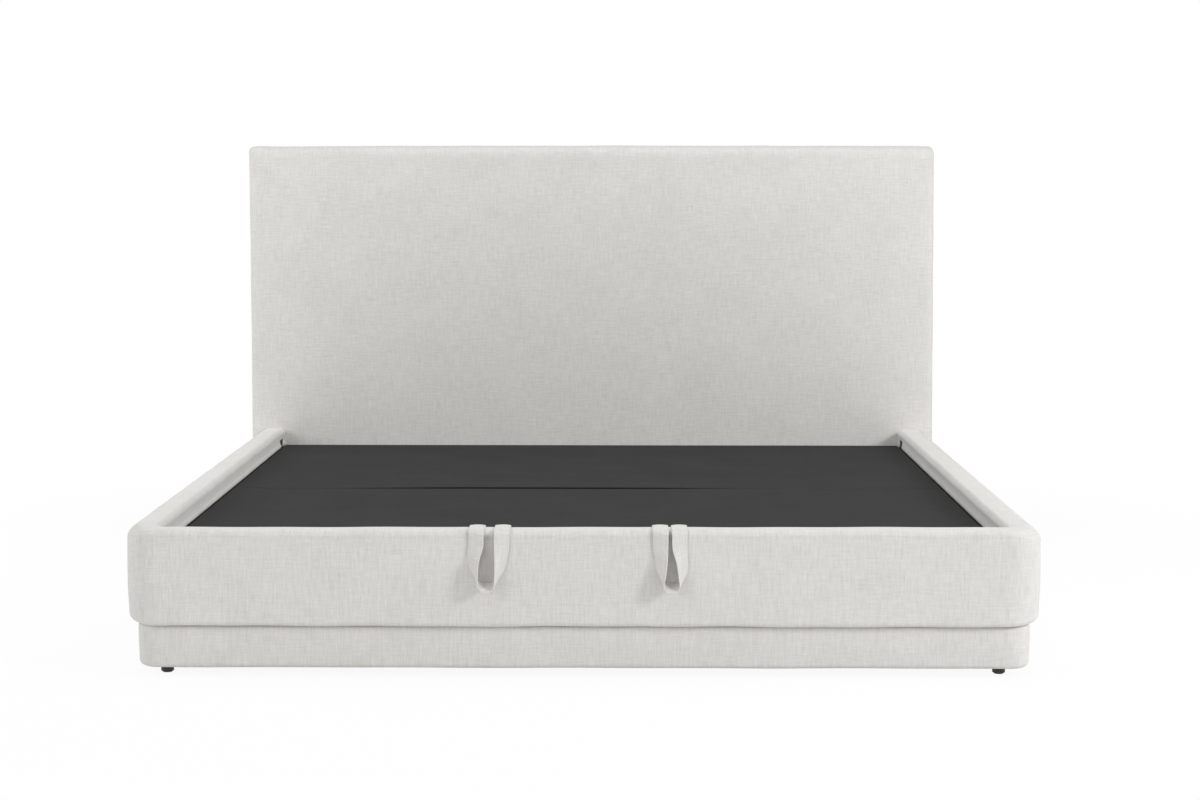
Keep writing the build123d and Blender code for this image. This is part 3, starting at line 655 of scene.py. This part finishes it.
def strap_section():
    """Where each place round a strap's section lies across it and how far it stands off the middle."""
    flat, edge = strap_width / 2 - strap_thick / 2, strap_thick / 2
    near = [(share * flat, edge) for share in np.linspace(-1, 1, strap_columns)]
    far = [(-across, -edge) for across, _ in near]
    turn = [radians(degrees) for degrees in (45, 90, 135)]
    right = [(flat + edge * sin(angle), edge * cos(angle)) for angle in turn]
    left = [(-across, -up) for across, up in right]
    return np.array(near + right + far + left + near[:1])


def strap(name, rows, ways, arches, start):
    """A flat strap along a middle line, with its direction across and its arching at each row."""
    section = strap_section()
    piece, row, column = grid_piece(name, len(rows), len(section))
    middle, way = np.array(rows), np.array(ways)
    off = np.cross(way, np.gradient(middle, axis=0))
    off /= np.linalg.norm(off, axis=1)[:, None]
    across, stand = section[column].T
    stand = stand + np.array(arches)[row] * (2 * across / strap_width) ** 2
    move_points(piece, middle[row] + way[row] * across[:, None] + off[row] * stand[:, None])
    length = run_along(middle)
    lay_weave(piece, across, start + length[row])
    close_up(piece)
    return piece, length[-1]


def curve_through(table, count):
    """Evenly spaced places on a smooth curve through the given ones."""
    points = np.array(table, float)
    knots = run_along(points[:, :2])
    slopes = np.gradient(points, knots, axis=0)
    made = []
    for place in np.linspace(0, knots[-1], count):
        index = min(int(np.searchsorted(knots, place, side="right")) - 1, len(knots) - 2)
        step = knots[index + 1] - knots[index]
        t = (place - knots[index]) / step
        start, end = points[index], points[index + 1]
        made.append(
            (2 * t**3 - 3 * t**2 + 1) * start + (t**3 - 2 * t**2 + t) * step * slopes[index]
            + (3 * t**2 - 2 * t**3) * end + (t**3 - t**2) * step * slopes[index + 1]
        )
    return made


def over_rail(x, low, high, fold_z):
    """Middle line of a strap from the deck's edge up the gap, over the rail and down to its fold."""
    front_y, back_y = low.y + strap_thick / 2, high.y - strap_thick / 2
    top_z = high.z - strap_thick / 2 - foot_drop_at(x)
    back_turn, front_turn = rail_inner_radius, rail_foot_top_radius
    up_gap, round_inner, round_outer = strap_places
    line = [(back_y, z) for z in np.linspace(low.z, top_z - back_turn, up_gap, endpoint=False)]
    for turn in np.linspace(0, pi / 2, round_inner):
        line.append((back_y - back_turn * (1 - cos(turn)), top_z - back_turn * (1 - sin(turn))))
    for turn in np.linspace(0, pi / 2, round_outer):
        line.append((front_y + front_turn * (1 - sin(turn)), top_z - front_turn * (1 - cos(turn))))
    line.append((front_y, fold_z))
    return [Vector((x, y, z)) for y, z in line]


def turn_of(width):
    """How far a strap has turned edge-on when it looks this wide from the front."""
    return float(np.arccos(np.clip((width - strap_thick) / (strap_width - strap_thick), 0, 1)))


def hanging_loop(side, middle, high):
    """Middle line and directions across the end that hangs from both folds, edge-on at its lowest place."""
    front_y = high.y - strap_thick / 2
    left_top, right_top = strap_middles[side]
    table = [(left_top, high.z, loop_fold_width)]
    table += [(x * MM, z * MM, width * MM) for x, z, width in loop_shapes[side]]
    table += [(right_top, high.z, loop_fold_width)]
    made = curve_through(table, loop_rows)
    lowest = min(range(len(made)), key=lambda index: made[index][1])
    rows, ways = [], []
    for index, (x, z, width) in enumerate(made):
        turn = turn_of(width)
        tilt = loop_tilt * sin(turn) ** 2
        stand = 0.5 * strap_width * sin(turn) * cos(tilt)
        if index > lowest:
            turn = pi - turn
        rows.append(Vector((middle + x, front_y - stand, z)))
        ways.append(Vector((cos(turn), -sin(turn) * cos(tilt), -sin(turn) * sin(tilt))))
    return rows, ways


def pull_loop(side):
    """Two straps over the rail and the hanging end that joins them."""
    low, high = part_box(f"pull_loop_band_{side}")
    end_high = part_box(f"pull_loop_end_{side}")[1]
    middle = (low.x + high.x) / 2
    made = []
    for number, offset in enumerate(strap_middles[side], start=1):
        rows = over_rail(middle + offset, low, high, end_high.z)
        index = np.arange(len(rows))
        arches = strap_arch * smooth(index, *strap_arch_rise) * smooth(index, *strap_arch_fall)
        turns = turn_of(loop_fold_width) * smooth(index, strap_turn_row, len(rows) - 1)
        rows = [row - Vector((0, 0.5 * strap_width * sin(turn), 0)) for row, turn in zip(rows, turns)]
        inner_edge = 1 if number == 1 else -1
        ways = [Vector((cos(turn), -inner_edge * sin(turn), 0)) for turn in turns]
        piece, length = strap(f"pull_loop_band_{side}_{number}", rows, ways, arches, 0)
        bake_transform(piece)
        made.append(piece)
    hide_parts(f"pull_loop_band_{side}")
    rows, ways = hanging_loop(side, middle, end_high)
    end, hanging = strap(f"pull_loop_end_{side}", rows, ways, [0] * len(rows), length)
    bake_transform(end)
    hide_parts(f"pull_loop_end_{side}")
    return made + [end]


# Shapes of the deck's felt and of the black linings


def lift_seam(vert, seam_y, high):
    """Bows the rear panel's edge up at the seam, with a rounded nose over it."""
    from_seam = abs(vert.co.y - seam_y)
    below = high.z - vert.co.z
    bow = float(smooth(abs(vert.co.x - seam_lift_middle), seam_lift_start, seam_lift_full))
    near = 1 - min(1, from_seam / seam_nose_depth)
    vert.co.y -= seam_nose * bow * near * float(smooth(below, deck_edge_radius, seam_nose_below))
    vert.co.z += seam_lift * bow * float(smooth(from_seam, seam_lift_depth, 0))


def deck_cloth(name, has_raised_seam):
    """Felt wrapped over a deck board, slightly uneven on top."""
    node = f"deck_cloth_{name}"
    low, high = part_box(node)
    bm = bmesh.new()
    verts = block(bm, low, high)
    bottom = [face for face in bm.faces if face.normal.z < -follows_axis]
    bmesh.ops.delete(bm, geom=bottom, context="FACES_ONLY")
    round_over(bm, edges_of(verts, lambda m, d: abs(d.z) > follows_axis), deck_corner_radius, segments=4)
    rim = edges_of(bm.verts, lambda m, d: m.z > high.z - deck_top_slack and abs(d.z) < crosses_axis)
    round_over(bm, rim, deck_edge_radius, segments=3)
    for axis, cuts in enumerate(deck_cuts):
        for index in range(1, cuts):
            place = Vector(low)
            place[axis] += (high[axis] - low[axis]) * index / cuts
            way = Vector((0, 0, 0))
            way[axis] = 1
            everything = bm.verts[:] + bm.edges[:] + bm.faces[:]
            bmesh.ops.bisect_plane(bm, geom=everything, plane_co=place, plane_no=way)
    for vert in bm.verts:
        first, second = (sin(across * vert.co.x + along * vert.co.y) for across, along in deck_waves)
        if high.z - vert.co.z < deck_top_slack:
            vert.co.z -= deck_uneven * (1 + first * second)
        if has_raised_seam:
            lift_seam(vert, low.y, high)
    piece = piece_of(f"deck_felt_{name}", bm)
    thicken = piece.modifiers.new("thickness", "SOLIDIFY")
    thicken.thickness = deck_cloth_thick
    thicken.offset = -1
    bake(piece)
    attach(piece, "lift_frame")
    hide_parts(node)
    return piece


def gap_shade_strip(name, low, high):
    """A strip of black cloth on the inner face of a rail board: painted shade where the gap in front of it is
    dark.
    """
    bm = bmesh.new()
    block(bm, low, high)
    piece = piece_of(name, bm)
    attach(piece, "root")
    return piece


def painted_gap_shades():
    """Painted shade: black strips in the gap under the upholstery's inner edge and behind each side rail's
    opening, so these gaps look dark.
    """
    face_x = rails.outer_x - rails.thick + rail_board_cover
    face_y = rails.front + rails.thick - rail_board_cover
    # Hem strips are painted shade: black cloth in the gap under the rails' inner edge, where it is dark.
    low, high = (-face_x, face_y - shade_strip_thick, hem_shade_low), (face_x, face_y, hem_shade_high)
    made = [gap_shade_strip("hem_gap_shade_foot", low, high)]
    for side, name in ((-1, "left"), (1, "right")):
        x = sorted((side * face_x, side * (face_x + shade_strip_thick)))
        low, high = (x[0], face_y, hem_shade_low), (x[1], rails.back - hem_shade_end, hem_shade_high)
        made.append(gap_shade_strip(f"hem_gap_shade_{name}", low, high))
        # The opening's strip is painted shade: black cloth behind the opening, so it looks dark.
        low = (x[0], rails.back - opening_start - shade_strip_margin, hem_shade_high)
        high = (x[1], rails.back - opening_end + shade_strip_margin, opening_top)
        made.append(gap_shade_strip(f"opening_gap_shade_{name}", low, high))
    return made


# Materials

# Noise that patterns are summed from: how many a metre across, along and up, and its detail
slub_noise = (
    ((520.0, 34.0, 1.0), 2.0), ((34.0, 520.0, 1.0), 2.0), ((190.0, 15.0, 1.0), 2.0),
    ((15.0, 190.0, 1.0), 2.0), ((7.0, 7.0, 1.0), 3.0),
)
felt_noise = (((900.0, 240.0, 400.0), 3.0), ((3.0, 60.0, 3.0), 2.0), ((6.0, 5.0, 6.0), 4.0))
growth_noise = (((55.0, 2.2, 55.0), 4.0), ((260.0, 9.0, 260.0), 2.0))
pore_noise = ((900.0, 30.0, 900.0), 1.0)
smudge_noise = (14.0, 5.0)
grain_detail = 4.0
streak_roughness = 0.55
# Weight of each noise in its sum
rail_slub_weights = (0.95, 0.75, 0.76, 0.45, 0.35)
head_slub_weights = (0.8, 1.0, 0.64, 0.6, 0.35)
felt_weights = (0.5, 0.35, 0.5)
growth_weights = (1.3, 0.7)
# Weights of the threads and the slubs, and of the dots and the fibres, in the relief
weave_height = (0.45, 0.8)
felt_height = (0.5, 0.6)
# How much pores and smudges change the roughness
pore_roughness = 0.2
smudge_roughness = 0.25
# Depth of the relief that a material shows, and how strongly it shows on cloth and timber
weave_relief = 0.5 * MM
felt_relief = 0.4 * MM
lining_relief = 0.3 * MM
timber_relief = 0.3 * MM
hard_relief = 0.2 * MM
linen_bump = 0.35
timber_bump = 0.25
# Linen's dullness, its sheen, its shine, and where its shades start and end in the weave
linen_roughness = 0.92
linen_sheen = 0.3
linen_sheen_roughness = 0.5
linen_specular = 0.25
linen_shades = (0.15, 0.85)


def add(tree, kind, inputs=None, **settings):
    """A shader node, with its settings and what goes into its sockets."""
    node = tree.nodes.new(kind)
    for name, value in settings.items():
        setattr(node, name, value)
    for key, value in (inputs or {}).items():
        if isinstance(value, bpy.types.NodeSocket):
            tree.links.new(value, node.inputs[key])
        else:
            node.inputs[key].default_value = value
    return node


def combine(tree, operation, a, b=0.0):
    return add(tree, "ShaderNodeMath", {0: a, 1: b}, operation=operation).outputs[0]


def streaks(tree, vector, scale, detail):
    """Noise drawn out along the axes that have the smaller scale."""
    place = add(tree, "ShaderNodeMapping", {"Vector": vector, "Scale": scale})
    inputs = {"Vector": place.outputs[0], "Scale": 1.0, "Detail": detail, "Roughness": streak_roughness}
    return add(tree, "ShaderNodeTexNoise", inputs).outputs[0]


def blend_colours(tree, factor, first, second):
    mix = add(tree, "ShaderNodeMix", {0: factor, 6: (*first, 1), 7: (*second, 1)}, data_type="RGBA")
    return mix.outputs[2]


def new_group(name, inputs, outputs):
    """An empty effect group with its sockets."""
    tree = bpy.data.node_groups.new(name, "ShaderNodeTree")
    for label, kind, value in inputs:
        socket = tree.interface.new_socket(name=label, in_out="INPUT", socket_type=kind)
        if value is not None:
            socket.default_value = value
    for label, kind in outputs:
        tree.interface.new_socket(name=label, in_out="OUTPUT", socket_type=kind)
    return tree, tree.nodes.new("NodeGroupInput"), tree.nodes.new("NodeGroupOutput")


def spread(tree, value, amount, about):
    """A value between 0 and 1, spread by this amount about a middle."""
    off = combine(tree, "SUBTRACT", value, 0.5)
    return combine(tree, "ADD", combine(tree, "MULTIPLY", off, amount), about)


def sum_of(tree, vector, noises, weights):
    """Adds up noises less a half, each times its weight, about a half."""
    total = 0.5
    for noise, weight in zip(noises, weights):
        total = spread(tree, streaks(tree, vector, *noise), weight, total)
    return total


def weigh(tree, values, weights):
    """The weighted sum of two values."""
    parts = [combine(tree, "MULTIPLY", value, weight) for value, weight in zip(values, weights)]
    return combine(tree, "ADD", *parts)


def give(tree, result, *values):
    """Sends the values to the group's outputs and returns the group."""
    for index, value in enumerate(values):
        tree.links.new(value, result.inputs[index])
    return tree


def make_weave(name, slub_weights):
    """Plain weave with slubs: thread relief, and uneven streaks along warp and weft."""
    tree, given, result = new_group(
        name,
        [("Vector", "NodeSocketVector", None), ("Threads per Metre", "NodeSocketFloat", 800.0),
         ("Slub", "NodeSocketFloat", 1.0)],
        [("Shade", "NodeSocketFloat"), ("Height", "NodeSocketFloat")],
    )
    vector, threads, slub = given.outputs[0], given.outputs[1], given.outputs[2]
    cells = add(tree, "ShaderNodeVectorMath", {0: vector, "Scale": threads}, operation="SCALE").outputs[0]
    apart = add(tree, "ShaderNodeSeparateXYZ", {0: cells})
    warp, weft = (
        combine(tree, "ABSOLUTE", combine(tree, "SINE", combine(tree, "MULTIPLY", apart.outputs[axis], pi)))
        for axis in (0, 1)
    )
    inputs = {"Vector": cells, "Color1": (1, 1, 1, 1), "Color2": (0, 0, 0, 1), "Scale": 1.0}
    over = add(tree, "ShaderNodeTexChecker", inputs).outputs[1]
    thread = add(tree, "ShaderNodeMix", {0: over, 2: warp, 3: weft}, data_type="FLOAT").outputs[0]
    slubs = sum_of(tree, vector, slub_noise, slub_weights)
    return give(tree, result, spread(tree, slubs, slub, 0.5), weigh(tree, (thread, slubs), weave_height))


def make_fibres():
    """Short fibres pressed into felt, with small bonded dots."""
    tree, given, result = new_group(
        "pressed_fibres",
        [("Vector", "NodeSocketVector", None), ("Dots per Metre", "NodeSocketFloat", 450.0)],
        [("Shade", "NodeSocketFloat"), ("Height", "NodeSocketFloat")],
    )
    vector, dots = given.outputs[0], given.outputs[1]
    cell = add(tree, "ShaderNodeTexVoronoi", {"Vector": vector, "Scale": dots}).outputs[0]
    fibre = sum_of(tree, vector, felt_noise, felt_weights)
    return give(tree, result, fibre, weigh(tree, (cell, fibre), felt_height))


def make_scuffs():
    """Fine rubbed lines and faint smudges on hard parts."""
    tree, given, result = new_group(
        "scuffs",
        [("Vector", "NodeSocketVector", None), ("Fineness", "NodeSocketFloat", 60.0)],
        [("Smudge", "NodeSocketFloat"), ("Grain", "NodeSocketFloat")],
    )
    vector, fineness = given.outputs[0], given.outputs[1]
    smudge, grain = (
        add(tree, "ShaderNodeTexNoise", {"Vector": vector, "Scale": scale, "Detail": detail}).outputs[0]
        for scale, detail in (smudge_noise, (fineness, grain_detail))
    )
    return give(tree, result, smudge, grain)


def make_timber_grain():
    """Growth lines and pores along one axis."""
    tree, given, result = new_group(
        "timber_grain",
        [("Vector", "NodeSocketVector", None)],
        [("Lines", "NodeSocketFloat"), ("Pores", "NodeSocketFloat")],
    )
    vector = given.outputs[0]
    lines = sum_of(tree, vector, growth_noise, growth_weights)
    return give(tree, result, lines, streaks(tree, vector, *pore_noise))


rail_weave = make_weave("upright_slub_weave", rail_slub_weights)
head_weave = make_weave("even_slub_weave", head_slub_weights)
fibre_group = make_fibres()
scuff_group = make_scuffs()
grain_group = make_timber_grain()


def sheet_of_nodes(name, roughness, metallic=0.0):
    """A new material, its node tree, its Principled shader, and its coordinates."""
    material = bpy.data.materials.new(name)
    material.use_nodes = True
    tree = material.node_tree
    shader = tree.nodes["Principled BSDF"]
    shader.inputs["Roughness"].default_value = roughness
    shader.inputs["Metallic"].default_value = metallic
    return material, tree, shader, add(tree, "ShaderNodeTexCoord")


def use_group(tree, group, vector, **values):
    node = add(tree, "ShaderNodeGroup", node_tree=group)
    tree.links.new(vector, node.inputs["Vector"])
    for name, value in values.items():
        node.inputs[name.replace("_", " ")].default_value = value
    return node


def raise_surface(tree, shader, height, strength, distance):
    bump = add(tree, "ShaderNodeBump", {"Height": height, "Strength": strength, "Distance": distance})
    tree.links.new(bump.outputs[0], shader.inputs["Normal"])


def linen(name, weave_group):
    """Off-white slubbed upholstery cloth."""
    material, tree, shader, place = sheet_of_nodes(name, linen_roughness)
    weave = use_group(tree, weave_group, place.outputs["UV"], Slub=1.0)
    ramp = add(tree, "ShaderNodeValToRGB", {0: weave.outputs[0]})
    dark_thread, pale_thread = ramp.color_ramp.elements
    dark_thread.position, pale_thread.position = linen_shades
    dark_thread.color, pale_thread.color = (*linen_dark, 1), (*linen_pale, 1)
    tree.links.new(ramp.outputs[0], shader.inputs["Base Color"])
    shader.inputs["Sheen Weight"].default_value = linen_sheen
    shader.inputs["Sheen Roughness"].default_value = linen_sheen_roughness
    shader.inputs["Specular IOR Level"].default_value = linen_specular
    raise_surface(tree, shader, weave.outputs[1], linen_bump, weave_relief)
    return material


def pressed_felt(name, dark, pale, roughness, specular, dots, bump, relief):
    """Pressed felt or thin lining cloth, with small bonded dots."""
    material, tree, shader, place = sheet_of_nodes(name, roughness)
    felt = use_group(tree, fibre_group, place.outputs["Object"], Dots_per_Metre=dots)
    tree.links.new(blend_colours(tree, felt.outputs[0], dark, pale), shader.inputs["Base Color"])
    shader.inputs["Specular IOR Level"].default_value = specular
    raise_surface(tree, shader, felt.outputs[1], bump, relief)
    return material


def wood(name, pale, dark, turn, roughness=0.55):
    """Planed timber or board, with its grain turned to the length of the piece."""
    material, tree, shader, place = sheet_of_nodes(name, roughness)
    turned = add(tree, "ShaderNodeMapping", {"Vector": place.outputs["Object"], "Rotation": turn})
    grain = use_group(tree, grain_group, turned.outputs[0])
    tree.links.new(blend_colours(tree, grain.outputs[0], pale, dark), shader.inputs["Base Color"])
    tree.links.new(spread(tree, grain.outputs[1], pore_roughness, roughness), shader.inputs["Roughness"])
    raise_surface(tree, shader, grain.outputs[1], timber_bump, timber_relief)
    return material


def hard(name, clean, worn, roughness, metallic, fineness, bump):
    """Metal, plastic, rubber or foam with faint smudges and a fine grain."""
    material, tree, shader, place = sheet_of_nodes(name, roughness, metallic)
    scuffs = use_group(tree, scuff_group, place.outputs["Object"], Fineness=fineness)
    tree.links.new(blend_colours(tree, scuffs.outputs[0], clean, worn), shader.inputs["Base Color"])
    tree.links.new(spread(tree, scuffs.outputs[0], smudge_roughness, roughness), shader.inputs["Roughness"])
    raise_surface(tree, shader, scuffs.outputs[1], bump, hard_relief)
    return material


lengthwise, crosswise = (0, 0, 0), (0, 0, radians(90))
linen_dark, linen_pale = (0.598, 0.583, 0.556), (0.736, 0.723, 0.702)
felt_dark, felt_pale = (0.024, 0.0235, 0.0238), (0.05, 0.0485, 0.0485)
lining_dark, lining_pale = (0.018, 0.018, 0.018), (0.045, 0.045, 0.046)
pine_pale, pine_dark = (0.62, 0.43, 0.24), (0.42, 0.26, 0.13)
birch_pale, birch_dark = (0.66, 0.5, 0.32), (0.5, 0.35, 0.2)
rail_linen = linen("rail_linen", rail_weave)
head_linen = linen("headboard_linen", head_weave)
finishes = {
    "timber_long": wood("pine_lengthwise", pine_pale, pine_dark, lengthwise),
    "timber_cross": wood("pine_crosswise", pine_pale, pine_dark, crosswise),
    "panel": wood("birch_panel", birch_pale, birch_dark, crosswise, roughness=0.5),
    "back_cloth": pressed_felt(
        "back_lining", lining_dark, lining_pale, roughness=0.8, specular=0.5, dots=600.0,
        bump=0.3, relief=lining_relief,
    ),
}
# Hard finishes and foam: slot, material, clean and worn colour, roughness, metallic, and the grain's
# fineness and strength
for slot, material_name, clean, worn, roughness, metallic, fineness, bump in (
    ("foam", "cut_foam", (0.72, 0.66, 0.46), (0.6, 0.54, 0.36), 0.95, 0.0, 900.0, 0.6),
    ("frame_steel", "black_coated_steel", (0.02, 0.02, 0.021), (0.035, 0.035, 0.036), 0.45, 0.0, 700.0, 0.1),
    ("mechanism_steel", "painted_lever_steel",
     (0.03, 0.031, 0.033), (0.06, 0.061, 0.063), 0.38, 0.35, 60.0, 0.1),
    ("zinc_steel", "zinc_plated_steel", (0.62, 0.61, 0.58), (0.46, 0.45, 0.42), 0.34, 1.0, 240.0, 0.1),
    ("strut_body", "gloss_black_tube", (0.012, 0.012, 0.013), (0.02, 0.02, 0.021), 0.22, 0.0, 60.0, 0.1),
    ("rod_chrome", "polished_rod", (0.72, 0.72, 0.73), (0.6, 0.6, 0.61), 0.12, 1.0, 40.0, 0.02),
    ("glide_plastic", "black_glide_plastic", (0.01, 0.01, 0.01), (0.02, 0.02, 0.02), 0.42, 0.0, 500.0, 0.1),
    ("pad_rubber", "pad_rubber", (0.025, 0.025, 0.025), (0.045, 0.045, 0.045), 0.75, 0.0, 300.0, 0.1),
):
    finishes[slot] = hard(material_name, clean, worn, roughness, metallic, fineness, bump)
finish_of_slot = {"timber": "timber_long", "upholstery": "foam", "deck_cloth": "back_cloth"}
crosswise_nodes = ("rail_board_foot", "plinth_board_foot", "frame_rest_batten", "head_crossboard")


def paint(piece, material):
    piece.data.materials.clear()
    piece.data.materials.append(material)


def finish_cad_nodes():
    """Every carried-over node takes the finish of its slot in the record."""
    slot_of_node = {part["node"]: part["material_slot"] for part in frame["record"]["subparts"]}
    for name, node in frame["nodes"].items():
        slot = slot_of_node[name]
        key = "timber_cross" if name in crosswise_nodes else finish_of_slot.get(slot, slot)
        paint(node, finishes[key])


def dress_bed():
    """The padded forms, the felt and the loops; the forms, the linings and the felt go on their bodies."""
    foot, side = (
        rail_outline(*radii) for radii in
        ((rail_foot_bottom_radius, rail_foot_top_radius), (rail_side_bottom_radius, rail_side_top_radius))
    )
    rail_piece = rails.sweep("rail_upholstery", foot, side, shape_rails)
    foot, side = plinth_outline(plinth_foot_bottom_radius), plinth_outline(plinth_side_bottom_radius)
    plinth_piece = plinth.sweep("plinth_upholstery", foot, side, shape_plinth)
    head_piece = piece_of("headboard_upholstery", head_blocks())
    skin_over(head_piece, head_voxel)
    depth = points_of(head_piece)[:, 1] - head_low.y
    swell(head_piece, held=depth > head_held_depth, pressure=head_pressure, cap=head_swell)
    shape_headboard(head_piece)
    bars = ("right", "left", "foot")
    stands_for = (
        (rail_piece, [f"rail_{layer}_{bar}" for layer in ("cover", "foam") for bar in bars]),
        (plinth_piece, [f"plinth_cover_{bar}" for bar in bars] + ["plinth_foam"]),
        (head_piece, ["headboard_cover", "headboard_foam"]),
    )
    for piece, nodes in stands_for:
        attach(piece, "root")
        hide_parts(*nodes)
        paint(piece, head_linen if piece == head_piece else rail_linen)
    # These black strips are painted shade in the gaps by the deck and in the openings by the headboard.
    for piece in painted_gap_shades():
        paint(piece, finishes["back_cloth"])
    for side in ("left", "right"):
        for piece in pull_loop(side):
            paint(piece, rail_linen)
    felt = pressed_felt(
        "deck_felt", felt_dark, felt_pale, roughness=0.95, specular=0.1, dots=450.0,
        bump=0.35, relief=felt_relief,
    )
    paint(deck_cloth("front", has_raised_seam=False), felt)
    paint(deck_cloth("rear", has_raised_seam=True), felt)


# Studio
floor_size = 30.0
world_grey = 0.55
floor_white = 0.9
floor_glow_near = 0.93
floor_glow_from = 1.4
floor_glow_to = 3.4
camera_place = (0.0706, -6.49505, 1.1559)
camera_pitch = radians(5.4225)
camera_yaw = radians(-0.3245)
camera_roll = radians(0.0585)
focal_pixels = 2387.1
image_width = 1200
sensor_width = 36.0
clip_end = 100.0
# Each lamp's place, what it points at, its width and height, and its power in watts
lamps = (
    ("overhead_softbox", (0.0, -0.6, 3.8), (0.0, -0.3, 0.3), 3.5, 3.0, 39.0),
    ("left_softbox", (-4.0, -4.8, 2.2), (-0.4, -0.2, 0.5), 2.0, 2.6, 56.0),
    ("right_softbox", (5.0, -3.7, 2.7), (0.3, -0.2, 0.4), 1.0, 1.2, 144.0),
    ("left_headboard_softbox", (-3.0, 0.2, 1.3), (-0.5, 1.0, 0.8), 0.8, 1.4, 15.0),
    ("right_headboard_softbox", (2.7, -0.7, 1.3), (0.5, 1.0, 0.8), 0.8, 1.4, 7.0),
)


def backdrop_share(tree):
    """1 for the camera, reflections and light through clear parts, and 0 for light on the object."""
    path = add(tree, "ShaderNodeLightPath")
    seen = combine(tree, "MAXIMUM", path.outputs["Is Camera Ray"], path.outputs["Is Glossy Ray"])
    return combine(tree, "MAXIMUM", seen, path.outputs["Is Transmission Ray"])


def show_mixed(tree, amount, first, second, output_kind):
    """Sends the mix of two shaders to the output."""
    mix = add(tree, "ShaderNodeMixShader", {0: amount, 1: first.outputs[0], 2: second.outputs[0]})
    tree.links.new(mix.outputs[0], add(tree, output_kind).inputs[0])


def make_world():
    world = bpy.data.worlds.new("studio")
    bpy.context.scene.world = world
    world.use_nodes = True
    tree = world.node_tree
    tree.nodes.clear()
    room, white = (
        add(tree, "ShaderNodeBackground", {0: (1, 1, 1, 1), 1: strength}) for strength in (world_grey, 1.0)
    )
    show_mixed(tree, backdrop_share(tree), room, white, "ShaderNodeOutputWorld")


def make_floor():
    bm = bmesh.new()
    bmesh.ops.create_grid(bm, x_segments=1, y_segments=1, size=floor_size / 2)
    floor = piece_of("floor", bm)
    material = bpy.data.materials.new("studio_floor")
    material.use_nodes = True
    tree = material.node_tree
    tree.nodes.clear()
    place = add(tree, "ShaderNodeTexCoord")
    away = add(tree, "ShaderNodeVectorMath", {0: place.outputs["Object"]}, operation="LENGTH")
    ranges = {0: away.outputs["Value"], 1: floor_glow_from, 2: floor_glow_to, 3: floor_glow_near, 4: 1.0}
    glow_share = add(tree, "ShaderNodeMapRange", ranges, interpolation_type="SMOOTHSTEP").outputs[0]
    amount = combine(tree, "MULTIPLY", backdrop_share(tree), glow_share)
    ground = add(tree, "ShaderNodeBsdfDiffuse", {0: (floor_white, floor_white, floor_white, 1)})
    glow = add(tree, "ShaderNodeEmission", {0: (1, 1, 1, 1), 1: 1.0})
    show_mixed(tree, amount, ground, glow, "ShaderNodeOutputMaterial")
    paint(floor, material)


def make_lamps():
    for name, place, target, width, height, power in lamps:
        light = bpy.data.lights.new(name, "AREA")
        light.shape = "RECTANGLE"
        light.size = width
        light.size_y = height
        light.energy = power
        lamp = bpy.data.objects.new(name, light)
        bpy.context.scene.collection.objects.link(lamp)
        way = Vector(target) - Vector(place)
        lamp.matrix_world = Matrix.Translation(place) @ way.to_track_quat("-Z", "Y").to_matrix().to_4x4()


def make_camera():
    camera = bpy.data.cameras.new("camera")
    camera.sensor_width = sensor_width
    camera.lens = focal_pixels * sensor_width / image_width
    camera.clip_end = clip_end
    holder = bpy.data.objects.new("camera", camera)
    bpy.context.scene.collection.objects.link(holder)
    ahead = Vector((
        sin(camera_yaw) * cos(camera_pitch), cos(camera_yaw) * cos(camera_pitch), -sin(camera_pitch),
    ))
    right = Vector((cos(camera_yaw), -sin(camera_yaw), 0))
    up = right.cross(ahead)
    rolled_right = right * cos(camera_roll) + up * sin(camera_roll)
    rolled_up = up * cos(camera_roll) - right * sin(camera_roll)
    turn = Matrix((rolled_right, rolled_up, -ahead)).transposed().to_4x4()
    holder.matrix_world = Matrix.Translation(camera_place) @ turn
    bpy.context.scene.camera = holder


finish_cad_nodes()
dress_bed()
make_world()
make_floor()
make_lamps()
make_camera()
bpy.context.scene.view_settings.view_transform = "Standard"
